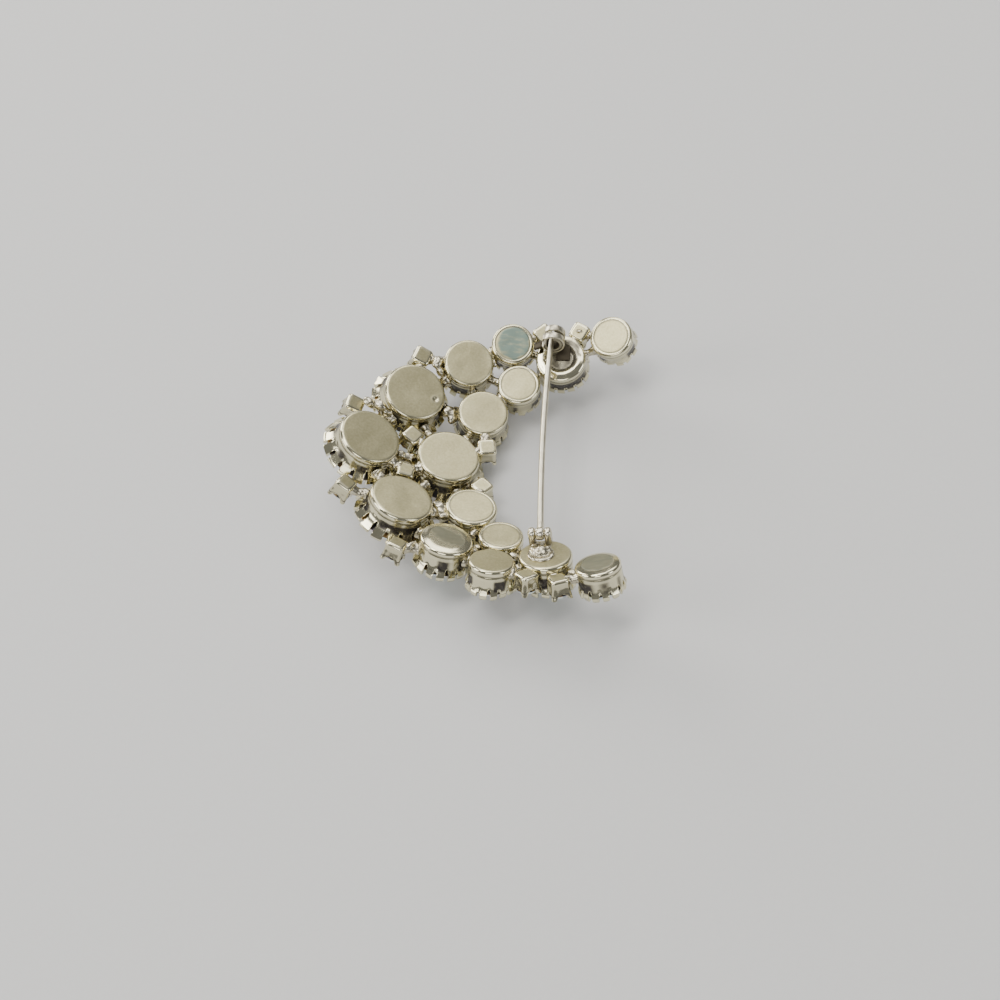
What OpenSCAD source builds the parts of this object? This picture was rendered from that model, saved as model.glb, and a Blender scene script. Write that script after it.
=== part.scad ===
// Crescent brooch seen from its back: round claw cups and square claw
// settings soldered side by side on a shallow dome, each holding a cut stone,
// with a swinging pin and a roll-over catch.
// Units are millimetres. The brooch lies face down on the plane Z = 0.
// +Y runs along the pin from its joint to its catch, and +X is the open side
// of the crescent.

/* [Dome and rest] */

// radius of the dome that the backs of the cups lie on
dome_r = 53.3; // [45:0.1:65]
// turn about X that brings the stones onto the surface, degrees
rest_turn_x = 0.105; // [-10:0.01:10]
// turn about Y that brings the stones onto the surface, degrees
rest_turn_y = 7.595; // [-10:0.01:10]
// height of the dome's lowest back point above the surface
rest_lift = 4.919; // [3:0.001:9]
// shift along X that centres the brooch
rest_shift_x = 1.498; // [-10:0.001:10]
// shift along Y that centres the brooch
rest_shift_y = 0.09; // [-10:0.001:10]

/* [Cup walls] */

// thickness of a cup's wall
wall = 0.4; // [0.3:0.05:0.6]
// thickness of a cup's back plate
back_t = 0.45; // [0.3:0.05:0.7]
// radius of the rounded edge around a cup's back
back_edge = 0.65; // [0.2:0.05:0.8]
// depth of the fine neck line below the back
neck_depth = 1.0; // [0.7:0.05:1.4]
// how far the neck is drawn in from the back's outline
neck_in = 0.12; // [0.05:0.01:0.3]

/* [Square settings] */

// side of a square setting at its back
square_back = 2.7; // [1.8:0.1:3]
// side of a square setting at its claws
square_front = 3.2; // [2.6:0.1:3.8]
// height of a square setting from back to claw tips
square_h = 3.0; // [2.4:0.1:3.6]
// radius of the arch cut into each side
square_arch_r = 1.1; // [0.7:0.05:1.2]
// radius of the seat for a square setting's stone
square_seat_r = 1.52; // [1.3:0.01:1.7]
// radius of the gap between the claw tips
square_lip_r = 1.36; // [1.2:0.01:1.5]

/* [Pin and joint] */

// radius of the pin's wire
pin_r = 0.42; // [0.35:0.01:0.5]
// radius of the flattened loop at the pin's root
loop_r = 0.95; // [0.8:0.05:1.2]
// width of the pin's loop along the rivet
loop_w = 1.2; // [0.9:0.05:1.5]
// radius of the rivet
rivet_r = 0.36; // [0.3:0.01:0.45]
// radial clearance between rivet and loop
rivet_gap = 0.05; // [0.02:0.01:0.1]
// gap between the loop and each ear
ear_gap = 0.06; // [0.03:0.01:0.15]
// thickness of each ear of the joint
ear_t = 1.0; // [0.6:0.05:1.4]
// length of the conical point
tip_len = 3.4; // [2:0.1:6]
// how far the middle of the wire bows sideways
pin_bow = 0.43; // [0.1:0.01:1]

/* [Catch] */

// outer radius of the catch's barrel
barrel_r = 1.8; // [1.5:0.05:2.2]
// bore radius of the barrel
barrel_bore = 1.45; // [1.2:0.05:1.8]
// length of the barrel
barrel_len = 2.7; // [2:0.1:3.5]
// width of the slot between the barrel's two bands
slot_w = 0.46; // [0.3:0.02:0.8]
// bore radius of the rolling sleeve
sleeve_bore = 0.95; // [0.8:0.05:1.2]
// radial clearance between sleeve and barrel
sleeve_gap = 0.05; // [0.02:0.01:0.1]
// how far the lever's end is from the barrel's axis
lever_reach = 3.45; // [2.4:0.05:3.8]

/* [Hidden] */
$fn = 48;
eps = 0.2;

// Shapes of round cup, one row each.
// back: outline radius of the back
// waist, waist_z: radius and depth where the wall starts to flare
// rim, rim_z: largest radius and its depth
// tip, tip_z: outer radius and depth of the claw tips
// claws: number of claws, notch_w and notch_z: width and apex depth of a notch
// girdle, girdle_z: radius and depth of the stone's widest line
// crown, pavilion: depths of the stone's two cones, table: its flat's radius
BACK = 0;
WAIST = 1;
WAIST_Z = 2;
RIM = 3;
RIM_Z = 4;
TIP = 5;
TIP_Z = 6;
CLAWS = 7;
NOTCH_W = 8;
NOTCH_Z = 9;
GIRDLE = 10;
GIRDLE_Z = 11;
CROWN = 12;
PAVILION = 13;
TABLE = 14;
SMALL = [3.33, 3.25, 3.0, 3.60, 4.0, 3.33, 4.7, 14, 0.85, 3.35, 3.12, 3.9, 1.05, 2.7, 1.8];
MEDIUM = [3.88, 3.86, 3.0, 4.40, 4.3, 4.15, 5.0, 16, 0.90, 3.45, 3.88, 4.2, 1.25, 3.1, 2.3];
LARGE = [4.76, 5.0, 2.6, 6.25, 3.95, 5.85, 4.6, 16, 1.10, 2.75, 5.62, 3.8, 1.5, 3.1, 3.3];

// Cups of the upper horn and the middle: x and y on the dome, shape.
CUP_X = 0;
CUP_Y = 1;
CUP_SHAPE = 2;
CUPS = [
    [16.55, 21.70, SMALL],
    [9.25, 18.90, MEDIUM],
    [1.70, 20.80, SMALL],
    [3.30, 14.50, SMALL],
    [-4.70, 16.95, MEDIUM],
    [-1.65, 9.10, MEDIUM],
    [-12.30, 10.25, LARGE],
    [-17.95, 0.00, LARGE],
    [-6.05, 0.20, LARGE],
    [-12.05, -10.20, LARGE],
    [-1.80, -9.15, MEDIUM],
    [-4.85, -16.95, MEDIUM],
    [2.90, -14.75, SMALL],
    [1.85, -21.10, SMALL],
    [9.40, -18.90, MEDIUM],
    [16.60, -21.60, SMALL],
];

// Square settings: x and y on the dome, depth of the back below it, spin.
SQ_X = 0;
SQ_Y = 1;
SQ_DEPTH = 2;
SQ_SPIN = 3;
SQUARES = [
    [-11.6, 17.1, 1.6, -15],
    [-20.1, 6.6, 2.5, -8],
    [-19.6, -8.4, 2.0, -25],
    [-11.3, -17.6, 2.1, -20],
    [-0.5, 3.1, 0.0, 12],
    [-0.6, -3.9, 0.6, -40],
    [6.8, -23.2, 0.4, 40],
    [11.1, -23.3, 1.0, 25],
    [11.5, 23.1, 1.0, -30],
    [6.1, 22.9, 1.0, 40],
    [-11.65, 3.34, 0.8, -32],
    [-12.0, -3.4, 0.8, 0],
];

// Solder ties: square setting and the cup it is joined to, both numbered
// from 1, and the tie's radius.
TIES = [
    [1, 7, 0.42],
    [1, 5, 0.55],
    [2, 8, 0.55],
    [3, 10, 0.55],
    [4, 12, 0.55],
    [5, 9, 0.55],
    [5, 6, 0.55],
    [6, 11, 0.55],
    [7, 15, 0.5],
    [7, 14, 0.5],
    [8, 15, 0.5],
    [8, 16, 0.5],
    [9, 2, 0.5],
    [9, 1, 0.5],
    [10, 2, 0.5],
    [10, 3, 0.5],
    [11, 9, 0.5],
    [12, 9, 0.7],
    [12, 8, 0.7],
];

// Solder bars: two cups, numbered from 1, and the depth and radius of the bar.
BARS = [
    [8, 7, 3.0, 0.8],
    [8, 10, 3.0, 0.8],
    [8, 9, 3.2, 0.7],
    [7, 9, 3.0, 0.7],
    [10, 9, 3.0, 0.7],
    [9, 6, 3.0, 0.7],
    [9, 11, 3.0, 0.7],
    [7, 6, 3.0, 0.8],
    [10, 11, 2.6, 0.8],
    [7, 5, 3.0, 0.8],
    [10, 12, 3.0, 0.8],
    [5, 6, 3.2, 0.6],
    [11, 12, 3.2, 0.6],
    [6, 4, 2.2, 0.6],
    [5, 4, 2.8, 0.6],
    [5, 3, 2.2, 0.6],
    [3, 4, 2.4, 0.6],
    [4, 2, 2.4, 0.6],
    [3, 2, 2.4, 0.6],
    [2, 1, 2.6, 0.6],
    [11, 13, 2.2, 0.6],
    [12, 13, 2.8, 0.6],
    [12, 14, 2.4, 0.6],
    [13, 14, 2.4, 0.6],
    [13, 15, 2.4, 0.6],
    [14, 15, 2.4, 0.6],
    [15, 16, 2.6, 0.6],
];

// Centre of the pin's loop, and where the pin's axis meets the catch.
JOINT_AT = [8.31, -15.92, 5.07];
CATCH_AT = [7.40, 20.00, 6.42];
// Middle of the barrel's axis, which runs along Y.
BARREL_AT = [7.79, 20.58, 6.70];
// Angles in the barrel's section, seen from the joint, 0 at +X and 90 at +Z.
MOUTH = [97, 145];
SLOT = [-15, 236];
SLEEVE_OPEN = [94, 182];
LEVER_TURN = 217;

function unit(v) = v / norm(v);
function dome_z(x, y) = dome_r - sqrt(dome_r * dome_r - x * x - y * y);
function dome_point(x, y) = [x, y, dome_z(x, y)];
function dome_normal(x, y) = unit([-x, -y, dome_r - dome_z(x, y)]);
function cup_point(i, depth) =
    dome_point(CUPS[i][CUP_X], CUPS[i][CUP_Y])
    - depth * dome_normal(CUPS[i][CUP_X], CUPS[i][CUP_Y]);

function square_point(i, depth) =
    dome_point(SQUARES[i][SQ_X], SQUARES[i][SQ_Y])
    - (SQUARES[i][SQ_DEPTH] + depth) * dome_normal(SQUARES[i][SQ_X], SQUARES[i][SQ_Y]);

// Puts the brooch on the surface the way it rests.
module at_rest() {
    translate([rest_shift_x, rest_shift_y, rest_lift])
        rotate([rest_turn_x, rest_turn_y, 0])
            children();
}

// Places children with their back on the dome and +Z out of the back.
module on_dome(x, y, depth, spin) {
    translate(dome_point(x, y))
        rotate(a = asin(norm([x, y]) / dome_r), v = [y, -x, 0])
            translate([0, 0, -depth])
                rotate([0, 0, spin])
                    children();
}

module on_cup(i) {
    on_dome(CUPS[i][CUP_X], CUPS[i][CUP_Y], 0, 0)
        children();
}

module on_square(i) {
    on_dome(SQUARES[i][SQ_X], SQUARES[i][SQ_Y], SQUARES[i][SQ_DEPTH], SQUARES[i][SQ_SPIN])
        children();
}

// Places children at a point with three given axes.
module with_axes(at, ex, ey, ez) {
    multmatrix([
        [ex.x, ey.x, ez.x, at.x],
        [ex.y, ey.y, ez.y, at.y],
        [ex.z, ey.z, ez.z, at.z],
        [0, 0, 0, 1]
    ])
        children();
}

// Half section of a cup's wall and back, turned about Z.
module cup_shell(c) {
    rotate_extrude()
        polygon(concat(
            [[0, 0]],
            [for (a = [0:30:90])
                [c[BACK] - back_edge + back_edge * sin(a), back_edge * (cos(a) - 1)]],
            [
                [c[BACK] - neck_in, -neck_depth],
                [c[WAIST], -c[WAIST_Z]],
                [c[RIM], -c[RIM_Z]],
                [c[TIP], -c[TIP_Z]],
                [c[TIP] - 0.35, 0.1 - c[TIP_Z]],
                [c[RIM] - wall, -c[RIM_Z]],
                [c[WAIST] - wall, 0.15 - c[WAIST_Z]],
                [c[BACK] - neck_in - wall, -neck_depth],
                [c[BACK] - back_edge, -back_t],
                [0, -back_t]
            ]
        ));
}

// One notch between two claws, narrow end towards the back.
module claw_notch(c) {
    translate([c[WAIST] - 1.3, 0, 0])
        rotate([90, 0, 90])
            linear_extrude(height = c[RIM] - c[WAIST] + 2)
                polygon([
                    [-c[NOTCH_W] / 2, -c[TIP_Z] - eps],
                    [c[NOTCH_W] / 2, -c[TIP_Z] - eps],
                    [0, -c[NOTCH_Z]]
                ]);
}

module cup(c) {
    difference() {
        cup_shell(c);
        for (k = [0:c[CLAWS] - 1])
            rotate([0, 0, (k + 0.5) * 360 / c[CLAWS]])
                claw_notch(c);
    }
}

function square_ring(half, z) = [
    [-half, -half, z],
    [half, -half, z],
    [half, half, z],
    [-half, half, z]
];

// Square setting: a tapered block with an arch through each side, which
// leaves a claw at each corner, and a round seat for its stone.
module square_setting() {
    difference() {
        polyhedron(
            points = concat(square_ring(square_front / 2, -square_h), square_ring(square_back / 2, 0)),
            faces = [[0, 1, 2, 3], [7, 6, 5, 4], [0, 4, 5, 1], [1, 5, 6, 2], [2, 6, 7, 3], [3, 7, 4, 0]]
        );
        for (turn = [0, 90])
            rotate([0, 0, turn])
                translate([0, 2.5, -square_h - 0.2])
                    rotate([90, 0, 0])
                        cylinder(h = 5, r = square_arch_r);
        translate([0, 0, -2.75])
            cylinder(h = 0.45, r = square_seat_r);
        translate([0, 0, -2.3])
            cylinder(h = 1.5, r1 = square_seat_r, r2 = 0.3);
        translate([0, 0, -square_h - eps])
            cylinder(h = 0.25 + 2 * eps, r = square_lip_r);
    }
}

// Solder run between the walls of two cups.
module solder_bar(row) {
    i = row[0] - 1;
    j = row[1] - 1;
    p = cup_point(i, row[2]);
    q = cup_point(j, row[2]);
    d = unit(q - p);
    side = unit(cross(d, dome_normal(CUPS[i][CUP_X], CUPS[i][CUP_Y])));
    start = wall_r(CUPS[i][CUP_SHAPE], row[2]) - 0.2;
    stop = norm(q - p) - wall_r(CUPS[j][CUP_SHAPE], row[2]) + 0.2;
    with_axes(p, side, cross(d, side), d)
        translate([0, 0, start])
            cylinder(h = stop - start, r = row[3], $fn = 24);
}

// Solder run from the solid back part of a square setting to a cup's wall.
module solder_tie(row) {
    j = row[1] - 1;
    p = square_point(row[0] - 1, 0.42);
    q = cup_point(j, max(0.7, square_level(row[0] - 1, j)));
    d = unit(q - p);
    side = unit(cross(d, dome_normal(CUPS[j][CUP_X], CUPS[j][CUP_Y])));
    stop = norm(q - p) - wall_r(CUPS[j][CUP_SHAPE], max(0.7, square_level(row[0] - 1, j))) + 0.12;
    with_axes(p, side, cross(d, side), d)
        cylinder(h = stop, r = row[2], $fn = 24);
}

// Depth of a square setting's solid part as measured from a cup's back.
function square_level(i, j) =
    (cup_point(j, 0) - square_point(i, 0.7)) * dome_normal(CUPS[j][CUP_X], CUPS[j][CUP_Y]);

// Outer radius of a cup's wall at a depth above its waist.
function wall_r(c, depth) = lookup(depth, [
    [neck_depth, c[BACK] - neck_in],
    [c[WAIST_Z], c[WAIST]],
    [c[RIM_Z], c[RIM]]
]);

// Axes of the joint: across the ears, along the pin and away from the back.
function joint_y() = unit(CATCH_AT - JOINT_AT);
function joint_x() = unit(cross(joint_y(), dome_normal(CUPS[14][CUP_X], CUPS[14][CUP_Y])));
function joint_z() = cross(joint_x(), joint_y());

module in_joint() {
    with_axes(JOINT_AT, joint_x(), joint_y(), joint_z())
        children();
}

// A ring sector along Y, in the barrel's section.
module sector(outer, inner, from, to, len) {
    rotate([90, 0, 0])
        translate([0, 0, -len / 2])
            rotate([0, 0, from])
                rotate_extrude(angle = to - from)
                    translate([inner, 0])
                        square([outer - inner, len]);
}

module barrel() {
    translate(BARREL_AT) {
        difference() {
            sector(barrel_r, barrel_bore, MOUTH[1], MOUTH[0] + 360, barrel_len);
            sector(barrel_r + eps, barrel_bore - eps, SLOT[0], SLOT[1], slot_w);
        }
        difference() {
            translate([-0.9, -1.1, -2.9])
                cube([1.8, 2.2, 1.4]);
            rotate([90, 0, 0])
                translate([0, 0, -3])
                    cylinder(h = 6, r = (barrel_r + barrel_bore) / 2);
        }
    }
}

module ear(from) {
    translate([from, 0, 0])
        rotate([90, 0, 90])
            linear_extrude(height = ear_t) {
                circle(r = loop_r);
                translate([-0.8, -2.7])
                    square([1.6, 2.7]);
            }
}

// Ears, rivet and the round base plate that carries them.
module joint_base() {
    in_joint() {
        ear(loop_w / 2 + ear_gap);
        ear(-loop_w / 2 - ear_gap - ear_t);
        rotate([0, 90, 0])
            translate([0, 0, -1.5])
                cylinder(h = 3, r = rivet_r);
    }
    on_cup(14) {
        translate([-0.65, -0.15, -0.2])
            cylinder(h = 0.55, r = 2.0);
        translate([-2.5, 0.6, -0.2])
            cube([3.3, 2.7, 0.45]);
    }
}

module setting_frame() {
    color([0.74, 0.72, 0.66])
        at_rest() {
            for (i = [0:len(CUPS) - 1])
                on_cup(i)
                    cup(CUPS[i][CUP_SHAPE]);
            for (i = [0:len(SQUARES) - 1])
                on_square(i)
                    square_setting();
            for (row = BARS)
                solder_bar(row);
            for (row = TIES)
                solder_tie(row);
            joint_base();
            barrel();
        }
}

// Pin: a flattened loop on the rivet with a tapered neck, a slightly bowed
// wire and its point.
module pin_stem() {
    reach = norm(CATCH_AT - JOINT_AT) - 0.6;
    bow_r = reach * reach / (8 * pin_bow) + pin_bow / 2;
    bow_a = 2 * asin(reach / 2 / bow_r);
    color([0.80, 0.78, 0.72])
        at_rest()
            in_joint() {
                difference() {
                    rotate([0, 90, 0])
                        translate([0, 0, -loop_w / 2])
                            cylinder(h = loop_w, r = loop_r);
                    rotate([0, 90, 0])
                        translate([0, 0, -loop_w])
                            cylinder(h = 2 * loop_w, r = rivet_r + rivet_gap);
                }
                translate([0.05, 0.6, 0])
                    rotate([-90, 0, 0])
                        cylinder(h = 1.2, r1 = 0.52, r2 = pin_r - 0.05);
                translate([bow_r * cos(bow_a / 2) + 0.1, 0.6 + reach / 2, 0])
                    rotate([0, 0, 180 - bow_a / 2])
                        rotate_extrude(angle = bow_a, $fn = 96)
                            translate([bow_r, 0])
                                circle(r = pin_r);
                translate([0.1, 0.6 + reach, 0])
                    rotate([0, 0, -bow_a / 2])
                        rotate([-90, 0, 0])
                            translate([0, 0, -0.3])
                                cylinder(h = tip_len / 2 + 0.3, r1 = pin_r - 0.01, r2 = 0.15);
            }
}

// Sleeve that rolls in the barrel, and the lever that turns it.
module catch_sleeve() {
    color([0.66, 0.64, 0.58])
        at_rest()
            translate(BARREL_AT) {
                sector(barrel_bore - sleeve_gap, sleeve_bore, SLEEVE_OPEN[1], SLEEVE_OPEN[0] + 360, barrel_len);
                rotate([0, -LEVER_TURN, 0]) {
                    translate([barrel_bore - 0.3, -slot_w / 2 + 0.06, -0.3])
                        cube([lever_reach - barrel_bore - 0.1, slot_w - 0.12, 0.6]);
                    translate([2.0, -1.3, -0.18])
                        cube([lever_reach - 2.0, 1.9, 0.36]);
                }
            }
}

function ring(n, r, z, turn) = [for (k = [0:n - 1]) [r * cos(turn + k * 360 / n), r * sin(turn + k * 360 / n), z]];
function kite_z(r, z0, r0, z1, r1) = z0 + (z1 - z0) * (r * cos(22.5) - r0) / (r1 - r0);

// Brilliant cut stone, table towards -Z: octagonal table, star, kite and
// girdle facets, a thin girdle and a pavilion of kites that meet in a point.
module brilliant(girdle, girdle_z, crown, pavilion, table) {
    g = 0.12;
    table_z = -girdle_z - g - crown;
    crown_r = (girdle + table) / 2 + 0.1;
    crown_z = kite_z(crown_r, table_z, table, -girdle_z - g, girdle);
    pav_r = girdle * 0.45;
    pav_z = kite_z(pav_r, -girdle_z + pavilion, 0, -girdle_z, girdle);
    polyhedron(
        points = concat(
            ring(8, table, table_z, 0),
            ring(8, crown_r, crown_z, 22.5),
            ring(16, girdle, -girdle_z - g, 0),
            ring(16, girdle, -girdle_z, 0),
            ring(8, pav_r, pav_z, 22.5),
            [[0, 0, -girdle_z + pavilion]]
        ),
        faces = concat(
            [[for (k = [0:7]) k]],
            [for (k = [0:7]) each [
                [k, 8 + k, (k + 1) % 8],
                [k, 16 + 2 * k, 8 + k],
                [k, 8 + (k + 7) % 8, 16 + 2 * k],
                [8 + k, 16 + 2 * k, 17 + 2 * k],
                [8 + k, 17 + 2 * k, 16 + (2 * k + 2) % 16],
                [48 + k, 33 + 2 * k, 32 + 2 * k],
                [48 + k, 32 + (2 * k + 2) % 16, 33 + 2 * k],
                [56, 48 + k, 32 + 2 * k],
                [56, 32 + 2 * k, 48 + (k + 7) % 8]
            ]],
            [for (k = [0:15]) [16 + k, 32 + k, 32 + (k + 1) % 16, 16 + (k + 1) % 16]]
        )
    );
}

module round_stone(i) {
    c = CUPS[i][CUP_SHAPE];
    color([0.86, 0.88, 0.90])
        at_rest()
            on_cup(i)
                brilliant(c[GIRDLE], c[GIRDLE_Z], c[CROWN], c[PAVILION], c[TABLE]);
}

module square_stone(i) {
    color([0.86, 0.88, 0.90])
        at_rest()
            on_square(i)
                brilliant(1.44, 2.42, 0.55, 1.2, 0.85);
}

module round_stone_01() {
    round_stone(0);
}

module round_stone_02() {
    round_stone(1);
}

module round_stone_03() {
    round_stone(2);
}

module round_stone_04() {
    round_stone(3);
}

module round_stone_05() {
    round_stone(4);
}

module round_stone_06() {
    round_stone(5);
}

module round_stone_07() {
    round_stone(6);
}

module round_stone_08() {
    round_stone(7);
}

module round_stone_09() {
    round_stone(8);
}

module round_stone_10() {
    round_stone(9);
}

module round_stone_11() {
    round_stone(10);
}

module round_stone_12() {
    round_stone(11);
}

module round_stone_13() {
    round_stone(12);
}

module round_stone_14() {
    round_stone(13);
}

module round_stone_15() {
    round_stone(14);
}

module round_stone_16() {
    round_stone(15);
}

module square_stone_01() {
    square_stone(0);
}

module square_stone_02() {
    square_stone(1);
}

module square_stone_03() {
    square_stone(2);
}

module square_stone_04() {
    square_stone(3);
}

module square_stone_05() {
    square_stone(4);
}

module square_stone_06() {
    square_stone(5);
}

module square_stone_07() {
    square_stone(6);
}

module square_stone_08() {
    square_stone(7);
}

module square_stone_09() {
    square_stone(8);
}

module square_stone_10() {
    square_stone(9);
}

module square_stone_11() {
    square_stone(10);
}

module square_stone_12() {
    square_stone(11);
}

setting_frame();
pin_stem();
catch_sleeve();
round_stone_01();
round_stone_02();
round_stone_03();
round_stone_04();
round_stone_05();
round_stone_06();
round_stone_07();
round_stone_08();
round_stone_09();
round_stone_10();
round_stone_11();
round_stone_12();
round_stone_13();
round_stone_14();
round_stone_15();
round_stone_16();
square_stone_01();
square_stone_02();
square_stone_03();
square_stone_04();
square_stone_05();
square_stone_06();
square_stone_07();
square_stone_08();
square_stone_09();
square_stone_10();
square_stone_11();
square_stone_12();
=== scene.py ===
"""Crescent brooch of claw-set stones, lying on its stones and seen from its back.

Lengths are in millimetres on the maker's drawing and turn into metres when a
piece is put in its place. The drawing's own frame has the dome's lowest back
point at the origin, +Z out of the back, +Y from the pin's joint to its catch
and +X towards the open side of the crescent.
"""

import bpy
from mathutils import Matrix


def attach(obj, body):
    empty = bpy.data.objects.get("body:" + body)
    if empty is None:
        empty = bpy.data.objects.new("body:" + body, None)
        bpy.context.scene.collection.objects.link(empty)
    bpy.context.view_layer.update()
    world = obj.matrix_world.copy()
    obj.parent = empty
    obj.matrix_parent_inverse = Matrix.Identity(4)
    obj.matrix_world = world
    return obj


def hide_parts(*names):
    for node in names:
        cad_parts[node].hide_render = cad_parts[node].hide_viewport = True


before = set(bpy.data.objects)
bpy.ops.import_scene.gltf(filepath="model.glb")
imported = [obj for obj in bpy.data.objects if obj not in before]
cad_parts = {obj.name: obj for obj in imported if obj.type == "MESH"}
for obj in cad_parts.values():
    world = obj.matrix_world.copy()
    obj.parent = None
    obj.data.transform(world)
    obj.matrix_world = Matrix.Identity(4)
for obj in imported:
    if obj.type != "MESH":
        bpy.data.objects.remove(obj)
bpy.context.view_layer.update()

import logging
import math
import random
from dataclasses import dataclass, field
from enum import Enum
from typing import Any, Iterable, Optional, Sequence, Union

import bmesh
import bpy
from mathutils import Matrix, Vector, noise

LOG = logging.getLogger("brooch")

Vert = bmesh.types.BMVert
Verts = list[Vert]
Material = bpy.types.Material
Object = bpy.types.Object
Colour = tuple[float, float, float]
Stops = Sequence[tuple[float, Colour]]

MM = 0.001
# Radius of the dome that the backs lie on, and how the brooch rests.
DOME_R = 53.3
REST_TURN_X = 0.105
REST_TURN_Y = 7.595
REST_SHIFT = Vector((1.498, 0.09, 4.919))
# A round cup's neck line, wall and back.
NECK_DEPTH = 1.0
NECK_IN = 0.12
WALL = 0.4
BACK_T = 0.45
# Vertices nearer than MERGE are one, and a length below TINY is nothing.
MERGE = 1e-5
TINY = 1e-6
# Angle in degrees over which an edge of a new part is rounded.
CRISP = 50.0
# The pin's loop and its width along the rivet.
LOOP_R = 0.95
LOOP_W = 1.2
# Marks on the vertices that the finishes read. The second darkens for dirt and also paints shade in
# hollows, insides and creases and dark reflections on the cups' walls; the third tints for a real
# stain and also paints dark reflections on two mirror backs.
MARKS = ("shine", "grime_and_shade", "stain_and_reflection")


# The drawing


def blend(low: float, high: float, value: float) -> float:
    """Smooth step of value between two limits."""
    t = min(1.0, max(0.0, (value - low) / (high - low)))
    return t * t * (3 - 2 * t)


def line_through(points: Sequence[tuple[float, float]], x: float) -> float:
    """Reads a line that is level beyond its ends.

    Args:
        points: the line's corners, sorted by x.
        x: where it is read.

    Returns:
        The line's height at x.
    """
    if x <= points[0][0]:
        return points[0][1]
    for (x0, y0), (x1, y1) in zip(points, points[1:]):
        if x <= x1:
            return y0 + (y1 - y0) * (x - x0) / (x1 - x0)
    return points[-1][1]


def turned(degrees: float, axis: str) -> Matrix:
    """Turn about an axis."""
    return Matrix.Rotation(math.radians(degrees), 4, axis)


@dataclass(frozen=True)
class CupSize:
    """Sizes of one kind of round cup.

    back is the back's outline, waist where the wall starts to flare, rim the
    widest line and tip the claws' ends; each *_z is a depth below the back.
    """

    back: float
    waist: float
    waist_z: float
    rim: float
    rim_z: float
    tip: float
    tip_z: float
    claws: int
    notch_w: float
    notch_z: float

    @property
    def edge(self) -> float:
        """Radius of the rolled edge round the back."""
        return 0.34 + 0.03 * self.back

    @property
    def flat(self) -> float:
        """Radius of the back inside its rolled edge."""
        return self.back - self.edge

    def outer(self, depth: float) -> float:
        """Finds the outer radius of the wall, with its corners eased.

        Args:
            depth: depth below the back.

        Returns:
            The radius.
        """
        points = (
            (0.5, self.back),
            (0.84, self.back - 0.01),
            (NECK_DEPTH, self.back - 0.11),
            (1.16, self.back - 0.01),
            (1.6, self.back - 0.03),
            (self.waist_z, self.waist),
            (self.rim_z, self.rim),
            (self.tip_z, self.tip),
        )
        ease = 0.16 if 1.7 <= depth < self.rim_z - 0.4 else 0.05
        return sum(line_through(points, depth + step * ease) for step in (-2, -1, 0, 1, 2)) / 5

    def inner(self, depth: float) -> float:
        """Finds the inner radius of the wall.

        Args:
            depth: depth below the back.

        Returns:
            The radius.
        """
        points = (
            (NECK_DEPTH, self.back - NECK_IN - WALL),
            (self.waist_z - 0.15, self.waist - WALL),
            (self.rim_z, self.rim - WALL),
            (self.tip_z - 0.1, self.tip - 0.35),
        )
        return line_through(points, depth)

    def wall(self, depth: float) -> float:
        """Outer radius of the wall at a depth, with plain corners."""
        neck = (NECK_DEPTH, self.back - NECK_IN)
        return line_through((neck, (self.waist_z, self.waist), (self.rim_z, self.rim)), depth)


class CupKind(Enum):
    """The three kinds of round cup."""

    SMALL = CupSize(3.33, 3.25, 3.0, 3.60, 4.0, 3.33, 4.7, 14, 0.85, 3.35)
    MEDIUM = CupSize(3.88, 3.86, 3.0, 4.40, 4.3, 4.15, 5.0, 16, 0.90, 3.45)
    LARGE = CupSize(4.76, 5.0, 2.6, 6.25, 3.95, 5.85, 4.6, 16, 1.10, 2.75)


@dataclass(frozen=True)
class Polish:
    """Shine of a back's middle and of its rolled edge, and the edge's drop."""

    middle: float
    roll: float
    drop: float = 0.0


class BackFinish(Enum):
    """A round cup's back: plain, with a low ring, dished, or sloped at its edge."""

    SATIN = Polish(0.0, 0.1)
    RINGED = Polish(0.0, 0.5)
    DISHED = Polish(0.8, 1.0)
    MIRROR = Polish(0.45, 0.8, 0.125)


@dataclass(frozen=True)
class Seat:
    """A place on the dome, with its depth below it and its spin in degrees."""

    x: float
    y: float
    depth: float = 0.0
    spin: float = 0.0

    def centre(self) -> Vector:
        """Point of the dome at this seat."""
        rise = math.sqrt(DOME_R**2 - self.x**2 - self.y**2)
        return Vector((self.x, self.y, DOME_R - rise))

    def normal(self) -> Vector:
        """Direction out of the back at this seat."""
        return (Vector((0, 0, DOME_R)) - self.centre()).normalized()

    def point(self, depth: float) -> Vector:
        """Point on the seat's axis, depth below its back."""
        return self.centre() - (self.depth + depth) * self.normal()

    def matrix(self) -> Matrix:
        """Finds the place of a piece that is drawn with its back at Z = 0.

        Returns:
            The matrix that puts it on the dome.
        """
        tilt = math.asin(math.hypot(self.x, self.y) / DOME_R)
        lean = Matrix.Rotation(tilt, 4, Vector((self.y, -self.x, 0)))
        drop = Matrix.Translation((0, 0, -self.depth))
        return Matrix.Translation(self.centre()) @ lean @ drop @ turned(self.spin, "Z")


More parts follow.
